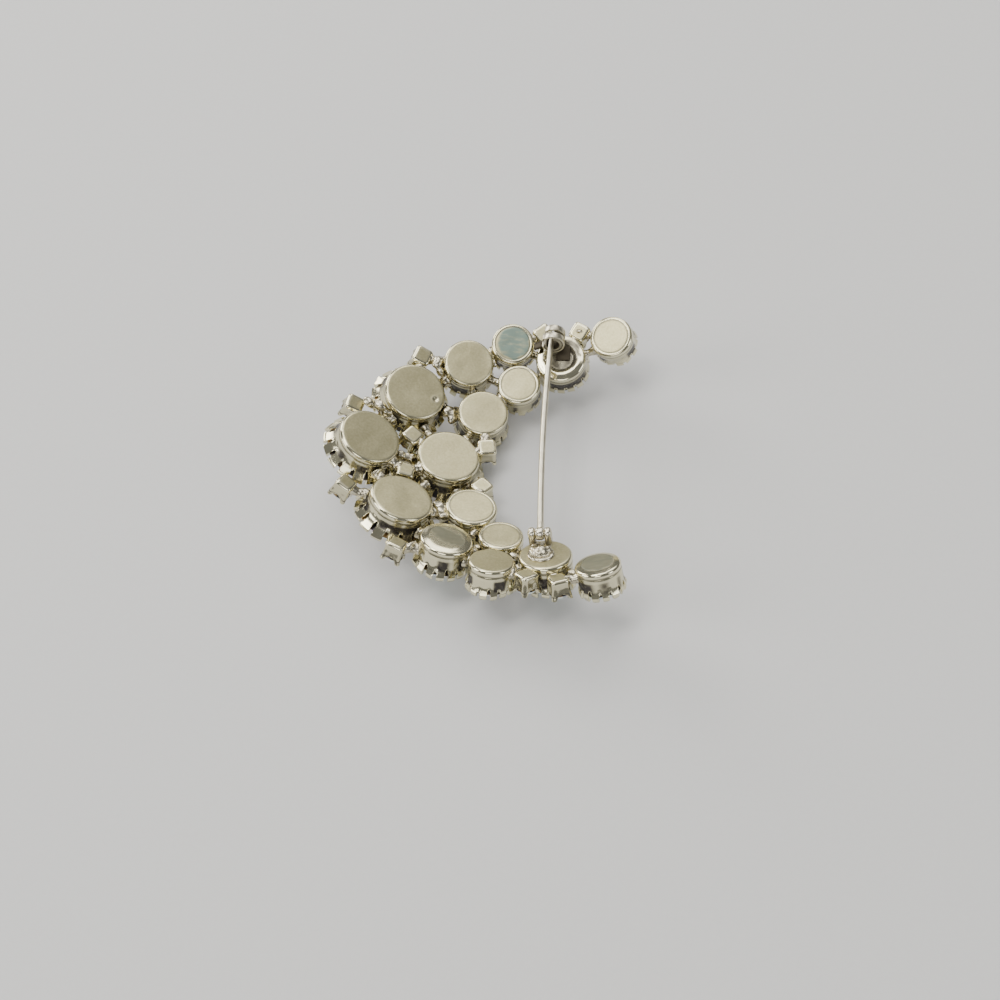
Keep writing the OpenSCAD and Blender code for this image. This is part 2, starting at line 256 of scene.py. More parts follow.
@dataclass(frozen=True)
class StainAndShadePatch:
    """A patch on a back: an ellipse with a soft, uneven edge.

    x and y are its centre, turn its long axis in degrees, squash how much narrower it is across,
    and the last two the stain and the darkening that it leaves: a real stain on cup 3, painted
    shade in cup 2's dish, painted dark reflections on the mirror backs of cups 12 and 16, and a
    slight darkening on cups 5 and 6.
    """

    x: float = 0.0
    y: float = 0.0
    turn: float = 0.0
    squash: float = 1.0
    stain_and_reflection: float = 0.0
    grime_and_shade: float = 0.0

    def cover(self, point: Vector, radius: float) -> float:
        """Tells how much the patch covers a point of a back.

        Args:
            point: the point, from the back's middle.
            radius: the back's radius.

        Returns:
            Its share, from 0 to 1.
        """
        a = math.radians(self.turn)
        x, y = point.x - self.x, point.y - self.y
        along = x * math.cos(a) + y * math.sin(a)
        across = (y * math.cos(a) - x * math.sin(a)) * self.squash
        uneven = 0.10 * noise.noise(point * 0.8)
        return 1 - blend(0.66, 0.80, math.hypot(along, across) / radius + uneven)


@dataclass(frozen=True)
class Cup:
    """One round cup: seat, kind, finish, and what has happened to its back.

    dent is a dent's x, y and size, and pits are the places of pits.
    """

    seat: Seat
    kind: CupKind
    finish: BackFinish = BackFinish.SATIN
    stain_and_shade_patch: Optional[StainAndShadePatch] = None
    dent: Optional[tuple[float, float, float]] = None
    pits: tuple[tuple[float, float], ...] = ()


CUPS: tuple[Cup, ...] = (
    Cup(Seat(16.55, 21.70), CupKind.SMALL, BackFinish.RINGED),
    Cup(
        Seat(9.25, 18.90),
        CupKind.MEDIUM,
        BackFinish.DISHED,
        # Painted shade: the dish under the catch is darkened.
        StainAndShadePatch(0.55, 0.55, 60, 1.25, grime_and_shade=0.85),
        pits=((-2.35, 0.3), (-2.45, -0.45), (-2.1, -1.0), (-1.5, -2.1)),
    ),
    Cup(Seat(1.70, 20.80), CupKind.SMALL, BackFinish.RINGED, StainAndShadePatch(0.1, 0.1, 0, 0.92, stain_and_reflection=1.0)),
    Cup(Seat(3.30, 14.50), CupKind.SMALL, BackFinish.RINGED),
    Cup(Seat(-4.70, 16.95), CupKind.MEDIUM, stain_and_shade_patch=StainAndShadePatch(-0.2, -0.1, grime_and_shade=0.07)),
    Cup(Seat(-1.65, 9.10), CupKind.MEDIUM, stain_and_shade_patch=StainAndShadePatch(0.2, 0.1, grime_and_shade=0.10)),
    Cup(Seat(-12.30, 10.25), CupKind.LARGE, dent=(3.25, -0.50, 0.42)),
    Cup(Seat(-17.95, 0.00), CupKind.LARGE),
    Cup(Seat(-6.05, 0.20), CupKind.LARGE),
    Cup(Seat(-12.05, -10.20), CupKind.LARGE),
    Cup(Seat(-1.80, -9.15), CupKind.MEDIUM, BackFinish.RINGED),
    Cup(
        Seat(-4.85, -16.95),
        CupKind.MEDIUM,
        BackFinish.MIRROR,
        # Painted dark reflection across the mirror back.
        StainAndShadePatch(0.2, 0.3, -30, 1.9, stain_and_reflection=0.35, grime_and_shade=0.42),
    ),
    Cup(Seat(2.90, -14.75), CupKind.SMALL, BackFinish.RINGED),
    Cup(Seat(1.85, -21.10), CupKind.SMALL),
    Cup(Seat(9.40, -18.90), CupKind.MEDIUM),
    Cup(
        Seat(16.60, -21.60),
        CupKind.SMALL,
        BackFinish.MIRROR,
        # Painted dark reflection across the mirror back.
        StainAndShadePatch(-0.15, 0.2, 0, 1.04, stain_and_reflection=0.40, grime_and_shade=0.34),
    ),
)
# The cups that carry the catch and the pin's joint.
CATCH_CUP = CUPS[1]
JOINT_CUP = CUPS[14]

# The square settings: x and y on the dome, depth below it and spin.
SQUARES: tuple[Seat, ...] = (
    Seat(-11.6, 17.1, 1.6, -15),
    Seat(-20.1, 6.6, 2.5, -8),
    Seat(-19.6, -8.4, 2.0, -25),
    Seat(-11.3, -17.6, 2.1, -20),
    Seat(-0.5, 3.1, 0.0, 12),
    Seat(-0.6, -3.9, 0.6, -40),
    Seat(6.8, -23.2, 0.4, 40),
    Seat(11.1, -23.3, 1.0, 25),
    Seat(11.5, 23.1, 1.0, -30),
    Seat(6.1, 22.9, 1.0, 40),
    Seat(-11.65, 3.34, 0.8, -32),
    Seat(-12.0, -3.4, 0.8, 0),
)

# Solder between two cups, counted from 1: both cups, depth and radius.
BARS: tuple[tuple[int, int, float, float], ...] = (
    (8, 7, 3.0, 0.8),
    (8, 10, 3.0, 0.8),
    (8, 9, 3.2, 0.7),
    (7, 9, 3.0, 0.7),
    (10, 9, 3.0, 0.7),
    (9, 6, 3.0, 0.7),
    (9, 11, 3.0, 0.7),
    (7, 6, 3.0, 0.8),
    (10, 11, 2.6, 0.8),
    (7, 5, 3.0, 0.8),
    (10, 12, 3.0, 0.8),
    (5, 6, 3.2, 0.6),
    (11, 12, 3.2, 0.6),
    (6, 4, 2.2, 0.6),
    (5, 4, 2.8, 0.6),
    (5, 3, 2.2, 0.6),
    (3, 4, 2.4, 0.6),
    (4, 2, 2.4, 0.6),
    (3, 2, 2.4, 0.6),
    (2, 1, 2.6, 0.6),
    (11, 13, 2.2, 0.6),
    (12, 13, 2.8, 0.6),
    (12, 14, 2.4, 0.6),
    (13, 14, 2.4, 0.6),
    (13, 15, 2.4, 0.6),
    (14, 15, 2.4, 0.6),
    (15, 16, 2.6, 0.6),
)

# Solder from a square setting to a cup, both counted from 1, and its radius.
TIES: tuple[tuple[int, int, float], ...] = (
    (1, 7, 0.42),
    (1, 5, 0.55),
    (2, 8, 0.55),
    (3, 10, 0.55),
    (4, 12, 0.55),
    (5, 9, 0.55),
    (5, 6, 0.55),
    (6, 11, 0.55),
    (7, 15, 0.5),
    (7, 14, 0.5),
    (8, 15, 0.5),
    (8, 16, 0.5),
    (9, 2, 0.5),
    (9, 1, 0.5),
    (10, 2, 0.5),
    (10, 3, 0.5),
    (11, 9, 0.5),
    (12, 9, 0.7),
    (12, 8, 0.7),
)

# Centre of the pin's loop, where the pin meets the catch, and the barrel's middle.
JOINT_AT = Vector((8.31, -15.92, 5.07))
CATCH_AT = Vector((7.40, 20.00, 6.42))
BARREL_AT = Vector((7.79, 20.58, 6.70))


def rest_matrix() -> Matrix:
    """Lays the drawing on the surface, still in millimetres."""
    return Matrix.Translation(REST_SHIFT) @ (turned(REST_TURN_Y, "Y") @ turned(REST_TURN_X, "X"))


def axes_matrix(at: Vector, along_x: Vector, along_y: Vector, along_z: Vector) -> Matrix:
    """Matrix whose columns are three axes and a point."""
    turn = Matrix((along_x, along_y, along_z)).transposed().to_4x4()
    return Matrix.Translation(at) @ turn


def joint_matrix() -> Matrix:
    """Finds the frame of the pin's joint.

    Returns:
        Its matrix, with X across the ears and Y along the pin.
    """
    along_y = (CATCH_AT - JOINT_AT).normalized()
    along_x = along_y.cross(JOINT_CUP.seat.normal()).normalized()
    return axes_matrix(JOINT_AT, along_x, along_y, along_x.cross(along_y))


# Finishes


Value = Union["Wire", float]


class Wire:
    """One socket of a material that can stand in a Python expression."""

    def __init__(self, bench: "Bench", socket: bpy.types.NodeSocket) -> None:
        """Keeps the socket and the bench that makes new nodes."""
        self.bench = bench
        self.socket = socket

    def _math(self, operation: str, a: Value, b: Value) -> "Wire":
        """Adds a Math node on two values."""
        node = self.bench.node("ShaderNodeMath", {"operation": operation}, {0: a, 1: b})
        return Wire(self.bench, node.outputs[0])

    def __add__(self, other: Value) -> "Wire":
        """Sum."""
        return self._math("ADD", self, other)

    def __radd__(self, other: Value) -> "Wire":
        """Reflected sum."""
        return self._math("ADD", other, self)

    def __sub__(self, other: Value) -> "Wire":
        """Difference."""
        return self._math("SUBTRACT", self, other)

    def __rsub__(self, other: Value) -> "Wire":
        """Reflected difference."""
        return self._math("SUBTRACT", other, self)

    def __mul__(self, other: Value) -> "Wire":
        """Product."""
        return self._math("MULTIPLY", self, other)

    def __rmul__(self, other: Value) -> "Wire":
        """Reflected product."""
        return self._math("MULTIPLY", other, self)

    def held(self, low: float = 0.0, high: float = 1.0) -> "Wire":
        """Value kept between two limits."""
        return self._math("MINIMUM", self._math("MAXIMUM", self, low), high)


class Bench:
    """Node tree of one material, with short ways to add nodes."""

    def __init__(self, name: str) -> None:
        """Starts a material with only its output and main shader.

        Args:
            name: the material's name.
        """
        self.material = bpy.data.materials.new(name)
        self.material.use_nodes = True
        self.tree = self.material.node_tree
        self.tree.nodes.clear()
        self.shader = self.tree.nodes.new("ShaderNodeBsdfPrincipled")
        output = self.tree.nodes.new("ShaderNodeOutputMaterial")
        self.tree.links.new(self.shader.outputs["BSDF"], output.inputs["Surface"])

    def node(
        self, kind: str, settings: dict[str, Any], values: dict[Union[str, int], Any]
    ) -> bpy.types.Node:
        """Adds a node.

        Args:
            kind: node type.
            settings: properties that are set first; stops are a ramp's.
            values: socket name or number to a value or a Wire.

        Returns:
            The new node.
        """
        node = self.tree.nodes.new(kind)
        for key, value in settings.items():
            if key == "stops":
                self._set_stops(node.color_ramp, value)
            else:
                setattr(node, key, value)
        for key, value in values.items():
            self.feed(node.inputs[key], value)
        return node

    def feed(self, socket: bpy.types.NodeSocket, value: Any) -> None:
        """Gives a socket its value.

        Args:
            socket: an input.
            value: a Wire, which is linked, or a constant.
        """
        if isinstance(value, Wire):
            self.tree.links.new(value.socket, socket)
        else:
            socket.default_value = value

    @staticmethod
    def _set_stops(ramp: bpy.types.ColorRamp, stops: Stops) -> None:
        """Gives a colour ramp its stops.

        Args:
            ramp: the ramp.
            stops: place and colour of each.
        """
        while len(ramp.elements) > 1:
            ramp.elements.remove(ramp.elements[-1])
        for number, (place, colour) in enumerate(stops):
            element = ramp.elements[0] if number == 0 else ramp.elements.new(place)
            element.position = place
            element.color = (*colour, 1.0)

    def point(self, stretch: Sequence[float] = (1.0, 1.0, 1.0)) -> Wire:
        """Reads Object coordinates in millimetres.

        Args:
            stretch: factor along each axis.

        Returns:
            The stretched point.
        """
        coordinates = self.node("ShaderNodeTexCoord", {}, {})
        scale = tuple(value / MM for value in stretch)
        values = {"Vector": Wire(self, coordinates.outputs["Object"]), "Scale": scale}
        return Wire(self, self.node("ShaderNodeMapping", {}, values).outputs["Vector"])

    def cloud(self, point: Wire, scale: float, detail: float) -> Wire:
        """Noise from 0 to 1 with a number of waves per millimetre."""
        values = {"Vector": point, "Scale": scale, "Detail": detail}
        return Wire(self, self.node("ShaderNodeTexNoise", {}, values).outputs["Fac"])

    def mark(self, name: str) -> Wire:
        """One of the marks that a workpiece carries."""
        node = self.node("ShaderNodeAttribute", {"attribute_name": name}, {})
        return Wire(self, node.outputs["Fac"])

    def ramp(self, value: Wire, stops: Stops) -> Wire:
        """Colour ramp over a value."""
        node = self.node("ShaderNodeValToRGB", {"stops": stops}, {"Fac": value})
        return Wire(self, node.outputs["Color"])

    def mixed(self, factor: Value, first: Any, second: Any) -> Wire:
        """Mixes two colours.

        Args:
            factor: share of the second.
            first: a Wire or a plain colour.
            second: the same.

        Returns:
            The mixed colour.
        """
        values = {0: factor, 6: self.colour(first), 7: self.colour(second)}
        return Wire(self, self.node("ShaderNodeMix", {"data_type": "RGBA"}, values).outputs[2])

    @staticmethod
    def colour(value: Any) -> Any:
        """Adds alpha to a plain colour and leaves a Wire as it is."""
        return value if isinstance(value, Wire) else (*value, 1.0)

    def bump(self, height: Wire, depth: float, strength: float) -> Wire:
        """Normal bumped by a height, whose full range is depth millimetres."""
        values = {"Height": height, "Distance": depth * MM, "Strength": strength}
        return Wire(self, self.node("ShaderNodeBump", {}, values).outputs["Normal"])


@dataclass(frozen=True)
class Finish:
    """A material; mix gives its shader's inputs, with _ for a space."""

    name: str

    def mix(self, bench: Bench) -> dict[str, Any]:
        """Inputs of the main shader."""
        raise NotImplementedError

    def make(self) -> Material:
        """Builds the material.

        Returns:
            The new material.
        """
        bench = Bench(self.name)
        for key, value in self.mix(bench).items():
            bench.feed(bench.shader.inputs[key.replace("_", " ")], value)
        return bench.material


@dataclass(frozen=True)
class PlatedMetal(Finish):
    """Silver-tone plating: satin where shine is 0 and polished where it is 1, darkened towards near
    black by the darkening mark, which paints shade and dark reflections as well as dirt.
    """

    light: Colour = (0.61, 0.562, 0.343)
    dull: Colour = (0.46, 0.419, 0.244)
    polished: Colour = (0.80, 0.75, 0.53)
    # Near-black colour that stands for tarnish and for painted shade and painted dark reflections.
    shade_and_tarnish: Colour = (0.045, 0.039, 0.034)
    verdigris: Colour = (0.205, 0.27, 0.23)
    satin_roughness: float = 0.40
    polished_roughness: float = 0.10

    def mix(self, bench: Bench) -> dict[str, Any]:
        """Lays out the material's nodes.

        Args:
            bench: where they are added.

        Returns:
            Inputs of the main shader.
        """
        point = bench.point()
        shine, grime_and_shade = bench.mark("shine"), bench.mark("grime_and_shade")
        patches = bench.cloud(point, 0.35, 3.0)
        spots = bench.cloud(point, 1.6, 4.0)
        grain = bench.cloud(bench.point((1.0, 0.6, 1.0)), 8.0, 3.0)
        fine = bench.cloud(point, 22.0, 2.0)
        scratches = bench.cloud(bench.point((0.35, 2.4, 1.0)), 5.0, 5.0)
        speckle = bench.cloud(point, 3.2, 4.0)
        satin = bench.mixed((patches * 1.1 + speckle * 1.9 - 1.0).held(), self.dull, self.light)
        metal = bench.mixed(shine, satin, self.polished)
        swirl = bench.cloud(bench.point((0.45, 1.5, 1.0)), 1.0, 3.0)
        # Blue-green stain, which on the mirror backs of two cups paints a dark reflection.
        stain_and_reflection_share = (bench.mark("stain_and_reflection") * (2.2 * swirl - 0.12)).held()
        metal = bench.mixed(stain_and_reflection_share, metal, self.verdigris)
        dirt_and_shade = (grime_and_shade * (0.75 + 0.5 * spots)).held()
        colour = bench.mixed(dirt_and_shade, metal, self.shade_and_tarnish)
        base = self.satin_roughness - shine * (self.satin_roughness - self.polished_roughness)
        rough = base + (patches - 0.5) * 0.06 + (scratches - 0.5) * 0.05 + dirt_and_shade * 0.14
        matt = 1.0 - shine
        relief = (grain + fine) * matt * matt + scratches * (0.5 - 0.35 * shine)
        return dict(
            Base_Color=colour,
            Metallic=1.0 - dirt_and_shade * 0.35,
            Roughness=rough.held(0.06, 0.9),
            Normal=bench.bump(relief, 0.012, 0.6),
        )


@dataclass(frozen=True)
class SolderMetal(Finish):
    """Grey solder, lumpy and bright, with dull flux in random pits and painted shade in its
    creases.
    """

    bright: Colour = (0.78, 0.73, 0.57)
    grey: Colour = (0.33, 0.295, 0.21)
    flux_and_shade: Colour = (0.05, 0.038, 0.02)

    def mix(self, bench: Bench) -> dict[str, Any]:
        """Lays out the material's nodes.

        Args:
            bench: where they are added.

        Returns:
            Inputs of the main shader.
        """
        point = bench.point()
        lumps = bench.cloud(point, 1.1, 2.0)
        pits = bench.cloud(point, 2.4, 2.0)
        fine = bench.cloud(point, 16.0, 2.0)
        # Painted shade from the crease mark, and flux from the pits noise.
        dirt_and_shade = (bench.mark("grime_and_shade") * 0.85 + (0.40 - pits) * 3.0).held()
        metal = bench.mixed((lumps * 2.0 - 0.5).held(), self.grey, self.bright)
        return dict(
            Base_Color=bench.mixed(dirt_and_shade, metal, self.flux_and_shade),
            Metallic=1.0 - dirt_and_shade * 0.5,
            Roughness=(0.19 + lumps * 0.10 + dirt_and_shade * 0.3).held(0.08, 0.8),
            Normal=bench.bump(lumps * 0.7 + pits * 0.15 + fine * 0.03, 0.03, 0.5),
        )


@dataclass(frozen=True)
class PinMetal(Finish):
    """Drawn and polished wire and sheet of the pin and the catch."""

    bright: Colour = (0.84, 0.79, 0.64)
    worn: Colour = (0.62, 0.57, 0.43)
    # Dark colour of painted shade in bores, under the barrel and on the lever, and of dirt.
    dirt_and_shade_colour: Colour = (0.06, 0.048, 0.03)

    def mix(self, bench: Bench) -> dict[str, Any]:
        """Lays out the material's nodes.

        Args:
            bench: where they are added.

        Returns:
            Inputs of the main shader.
        """
        drawn = bench.cloud(bench.point((1.0, 0.06, 1.0)), 7.0, 4.0)
        patches = bench.cloud(bench.point(), 0.5, 3.0)
        fine = bench.cloud(bench.point(), 20.0, 2.0)
        # The darkening mark paints shade here as well as dirt.
        dirt_and_shade = (bench.mark("grime_and_shade") * (0.5 + patches)).held()
        metal = bench.mixed((patches * 1.8 - 0.4).held(), self.worn, self.bright)
        colour, metallic = bench.mixed(dirt_and_shade, metal, self.dirt_and_shade_colour), 1.0 - dirt_and_shade * 0.4
        rough = 0.36 - bench.mark("shine") * 0.18 + drawn * 0.1 + dirt_and_shade * 0.3
        return dict(
            Base_Color=colour,
            Metallic=metallic,
            Roughness=rough.held(0.06, 0.9),
            Normal=bench.bump(drawn * 0.8 + fine * 0.2, 0.01, 0.6),
        )


@dataclass(frozen=True)
class FoiledStone(Finish):
    """Cut glass with a faint rainbow coat, some crown facets darkened with painted shade, and
    bronze foil behind the pavilion, some of whose facets are darkened with painted shade.
    """

    body: Colour = (0.90, 0.90, 0.92)
    coat: Stops = (
        (0.0, (0.93, 0.95, 1.0)),
        (0.28, (0.72, 0.86, 1.0)),
        (0.45, (0.98, 0.90, 0.72)),
        (0.6, (0.95, 0.72, 0.84)),
        (0.78, (0.70, 0.95, 0.86)),
        (1.0, (0.97, 0.97, 1.0)),
    )
    # Painted shade mixed into some crown facets.
    depth: Colour = (0.16, 0.18, 0.23)
    foil: Colour = (0.30, 0.19, 0.07)
    foil_in_shade: Colour = (0.045, 0.04, 0.04)

    def mix(self, bench: Bench) -> dict[str, Any]:
        """Lays out the material's nodes.

        Args:
            bench: where they are added.

        Returns:
            Inputs of the main shader.
        """
        point = bench.point()
        tint = bench.mark("tint")
        drift = bench.cloud(point, 0.25, 2.0)
        fine = bench.cloud(point, 14.0, 2.0)
        foil = bench.mark("foil")
        rainbow = bench.ramp((tint * 0.75 + drift * 0.25).held(), self.coat)
        crown = bench.mixed(0.75, self.body, rainbow)
        # Painted shade: facets with a low tint are darkened.
        crown = bench.mixed((0.75 - tint * 1.5).held(0.0, 0.7), crown, self.depth)
        # Painted shade: facets with a low tint get the dark foil.
        behind = bench.mixed((tint * tint * 1.3 - 0.25).held(), self.foil_in_shade, self.foil)
        return dict(
            Base_Color=bench.mixed(foil, crown, behind),
            Metallic=0.82,
            Roughness=(0.04 + fine * 0.04 + drift * 0.03 + foil * 0.24).held(0.03, 0.4),
            IOR=1.56,
            Coat_Weight=1.0 - foil * 0.8,
            Coat_Roughness=0.03,
            Normal=bench.bump(fine, 0.003, 0.3),
        )


@dataclass(frozen=True)
class StudioPaper(Finish):
    """Pale paper that the brooch lies on."""

    pale: Colour = (0.72, 0.72, 0.71)
    shade: Colour = (0.69, 0.69, 0.685)

    def mix(self, bench: Bench) -> dict[str, Any]:
        """Lays out the material's nodes.

        Args:
            bench: where they are added.

        Returns:
            Inputs of the main shader.
        """
        fibres = bench.cloud(bench.point(), 1.2, 4.0)
        return dict(
            Base_Color=bench.mixed(fibres, self.shade, self.pale),
            Roughness=0.85,
            Normal=bench.bump(fibres, 0.02, 0.3),
        )


class FinishRack:
    """All finishes, made once."""

    def __init__(self) -> None:
        """Makes every finish."""
        self.plated = PlatedMetal("plated_metal").make()
        self.solder = SolderMetal("solder_metal").make()
        self.pin = PinMetal("pin_metal").make()
        self.round_stone = FoiledStone("round_stone_glass", (0.88, 0.90, 0.94)).make()
        self.square_stone = FoiledStone("square_stone_glass").make()
        self.paper = StudioPaper("studio_paper").make()


# Shop equipment


@dataclass(frozen=True)
class Row:
    """One point of a half section with its marks."""

    r: float
    z: float
    shine: float = 0.0
    grime_and_shade: float = 0.0


@dataclass(frozen=True)
class Wobble:
    """Smooth seeded unevenness of hand-finished metal."""

    size: float
    depth: float
    seed: float

    def at(self, point: Vector) -> float:
        """Height of the unevenness at a point."""
        shift = Vector((self.seed, -self.seed, 2 * self.seed))
        return self.depth * noise.noise(point / self.size + shift)


def put(name: str, data: Any) -> Object:
    """Puts new data into the scene.

    Args:
        name: name of its object.
        data: mesh, lamp or camera data.

    Returns:
        The new object.
    """
    thing = bpy.data.objects.new(name, data)
    bpy.context.scene.collection.objects.link(thing)
    return thing


def put_mesh(name: str, bm: bmesh.types.BMesh, material: Optional[Material] = None) -> Object:
    """Turns a bmesh into an object and frees it.

    Args:
        name: name of the object and its mesh.
        bm: its shape.
        material: its finish, if it has one.

    Returns:
        The new object.
    """
    mesh = bpy.data.meshes.new(name)
    bm.to_mesh(mesh)
    bm.free()
    if material:
        mesh.materials.append(material)
    return put(name, mesh)


@dataclass
class Workpiece:
    """A bmesh in millimetres with the marks that the finishes read.

    shine runs from 0 on satin to 1 on polished metal. The darkening mark is 1 where dirt gathers,
    and it also paints shade into hollows, insides, creases and bores and dark reflections onto the
    cups' walls. The stain mark is 1 where the plating has turned blue-green, and it also paints
    dark reflections on the mirror backs of two cups.
    """

    rack: FinishRack
    bm: bmesh.types.BMesh = field(default_factory=bmesh.new, init=False)

    def __post_init__(self) -> None:
        """Prepares the new bmesh."""
        self.add_layers()

    def add_layers(self) -> None:
        """Makes the layers that hold the marks, where they are missing."""
        layers = self.bm.verts.layers.float
        for name in MARKS:
            if name not in layers:
                layers.new(name)

    @property
    def shine(self) -> bmesh.types.BMLayerItem:
        """Layer of the polish mark."""
        return self.bm.verts.layers.float["shine"]

    @property
    def grime_and_shade(self) -> bmesh.types.BMLayerItem:
        """Layer of the mark that darkens for dirt and for painted shade and painted dark
        reflections.
        """
        return self.bm.verts.layers.float["grime_and_shade"]

    @property
    def stain_and_reflection(self) -> bmesh.types.BMLayerItem:
        """Layer of the stain mark, which also paints dark reflections."""
        return self.bm.verts.layers.float["stain_and_reflection"]

    def mark(self, verts: Iterable[Vert], shine: float, grime_and_shade: float = 0.0) -> None:
        """Sets the polish and darkening marks of some vertices; the darkening stands for dirt and
        for painted shade.
        """
        for vert in verts:
            vert[self.shine], vert[self.grime_and_shade] = shine, grime_and_shade

    def move(self, verts: Iterable[Vert], matrix: Matrix) -> None:
        """Transforms some vertices."""
        bmesh.ops.transform(self.bm, matrix=matrix, verts=list(verts))

    def shift(self, verts: Verts, way: Sequence[float]) -> None:
        """Slides some vertices."""
        bmesh.ops.translate(self.bm, vec=way, verts=verts)

    def since(self, before: set[Vert]) -> Verts:
        """Vertices that aren't in an earlier set."""
        return [vert for vert in self.bm.verts if vert not in before]

    def face_out(self, part: Verts) -> Verts:
        """Turns a closed part's faces outward.

        Args:
            part: all its vertices.

        Returns:
            The same vertices.
        """
        faces = list({face for vert in part for face in vert.link_faces})
        bmesh.ops.recalc_face_normals(self.bm, faces=faces)
        return part

    def bevel(
        self, part: Verts, edges: Sequence[bmesh.types.BMEdge], width: float, segments: int
    ) -> Verts:
        """Rounds some edges of a part.

        Args:
            part: all its vertices.
            edges: the edges.
            width: how far from an edge the rounding starts.
            segments: faces across it.

        Returns:
            All vertices that the part has now.
        """
        others = set(self.bm.verts).difference(part)
        bmesh.ops.bevel(
            self.bm,
            geom=edges,
            offset=width,
            segments=segments,
            profile=0.5,
            affect="EDGES",
            material=-1,
            clamp_overlap=True,
        )
        return self.since(others)

    def soften(self, part: Verts, width: float, segments: int) -> Verts:
        """Rounds all crisp edges of a part.

        Args:
            part: all its vertices.
            width: how far from an edge the rounding starts.
            segments: faces across it.

        Returns:
            All vertices that the part has now.
        """
        edges = {edge for vert in part for edge in vert.link_edges}
        limit = math.radians(CRISP)
        crisp = [
            edge
            for edge in self.bm.edges
            if edge in edges and len(edge.link_faces) == 2 and edge.calc_face_angle(0.0) > limit
        ]
        return self.bevel(part, crisp, width, segments)

    def spin(
        self, geom: list[Any], axis: Sequence[float], angle: float, steps: int, full: bool
    ) -> None:
        """Spins geometry about an axis through the origin.

        Args:
            geom: vertices, edges or faces.
            axis: direction of the axis.
            angle: angle in radians.
            steps: steps on the way.
            full: whether the end is merged with the start.
        """
        bmesh.ops.spin(
            self.bm,
            geom=geom,
            cent=(0, 0, 0),
            axis=axis,
            dvec=(0, 0, 0),
            angle=angle,
            space=Matrix.Identity(4),
            steps=steps,
            use_merge=full,
            use_normal_flip=False,
            use_duplicate=False,
        )

    def lathe(self, rows: Sequence[Row], steps: int) -> Verts:
        """Spins a half section about Z.

        Args:
            rows: the section's points from one end on the axis to the other.
            steps: columns round the axis.

        Returns:
            The new vertices.
        """
        before = set(self.bm.verts)
        line = []
        for row in rows:
            line.append(self.bm.verts.new((row.r, 0, row.z)))
            self.mark(line[-1:], row.shine, row.grime_and_shade)
        edges = [self.bm.edges.new(pair) for pair in zip(line, line[1:])]
        self.spin(line + edges, (0, 0, 1), math.tau, steps, True)
        bmesh.ops.remove_doubles(self.bm, verts=self.since(before), dist=MERGE)
        return self.face_out(self.since(before))

    def sector(
        self, outer: float, inner: float, gap: tuple[float, float], length: float, steps: int
    ) -> Verts:
        """Makes a tube along Y that is open from one angle to another.

        Args:
            outer: outer radius.
            inner: inner radius.
            gap: the angles in degrees, 0 at +X and 90 at +Z.
            length: length along Y.
            steps: steps round the arc.

        Returns:
            The new vertices.
        """
        before = set(self.bm.verts)
        half, start, stop = length / 2, gap[1], gap[0] + 360
        around = ((inner, -half), (outer, -half), (outer, half), (inner, half))
        corners = [self.bm.verts.new((r, y, 0)) for r, y in around]
        section = self.bm.faces.new(corners)
        turn = Matrix.Rotation(-math.radians(start), 3, "Y")
        bmesh.ops.rotate(self.bm, verts=corners, cent=(0, 0, 0), matrix=turn)
        self.spin([section], (0, -1, 0), math.radians(stop - start), steps, False)
        return self.face_out(self.since(before))

    def shade_bore(self, part: Verts, radius: float) -> None:
        """Darkens a bore along Y with painted shade.

        Args:
            part: all the part's vertices.
            radius: how far from the axis it is darkened.
        """
        for vert in part:
            if math.hypot(vert.co.x, vert.co.z) < radius:
                vert[self.grime_and_shade] = 1.0

    def ball(self, radius: float) -> Verts:
        """Makes an icosphere at the origin and returns its vertices."""
        return bmesh.ops.create_icosphere(self.bm, subdivisions=3, radius=radius)["verts"]

    def block(self, size: Sequence[float], at: Sequence[float] = (0, 0, 0)) -> Verts:
        """Makes a box.

        Args:
            size: its three sides.
            at: its middle.

        Returns:
            Its vertices.
        """
        verts = bmesh.ops.create_cube(self.bm, size=1.0)["verts"]
        bmesh.ops.scale(self.bm, vec=size, verts=verts)
        self.shift(verts, at)
        return verts

    def fuse(self, voxel: float, passes: int) -> None:
        """Melts all parts into one smooth skin and darkens its creases with painted shade.

        Args:
            voxel: size of the skin's cells.
            passes: how many times the skin is smoothed.
        """
        loose = put_mesh("loose_parts", self.bm)
        mesh = loose.data
        melt = loose.modifiers.new("melt", "REMESH")
        melt.mode = "VOXEL"
        melt.voxel_size = voxel
        self.bm = bmesh.new()
        self.bm.from_object(loose, bpy.context.evaluated_depsgraph_get())
        bpy.data.objects.remove(loose)
        bpy.data.meshes.remove(mesh)
        self.add_layers()
        ways = {f"use_axis_{axis}": True for axis in "xyz"}
        for _ in range(passes):
            bmesh.ops.smooth_vert(self.bm, verts=self.bm.verts, factor=0.5, **ways)
        self.bm.normal_update()
        for vert in self.bm.verts:
            ring = [edge.other_vert(vert).co for edge in vert.link_edges]
            middle = sum(ring, Vector()) / len(ring)
            crease = (middle - vert.co).dot(vert.normal) / voxel
            # Painted shade: hollows are darkened.
            self.mark([vert], 1.0, blend(0.0, 0.08, crease))

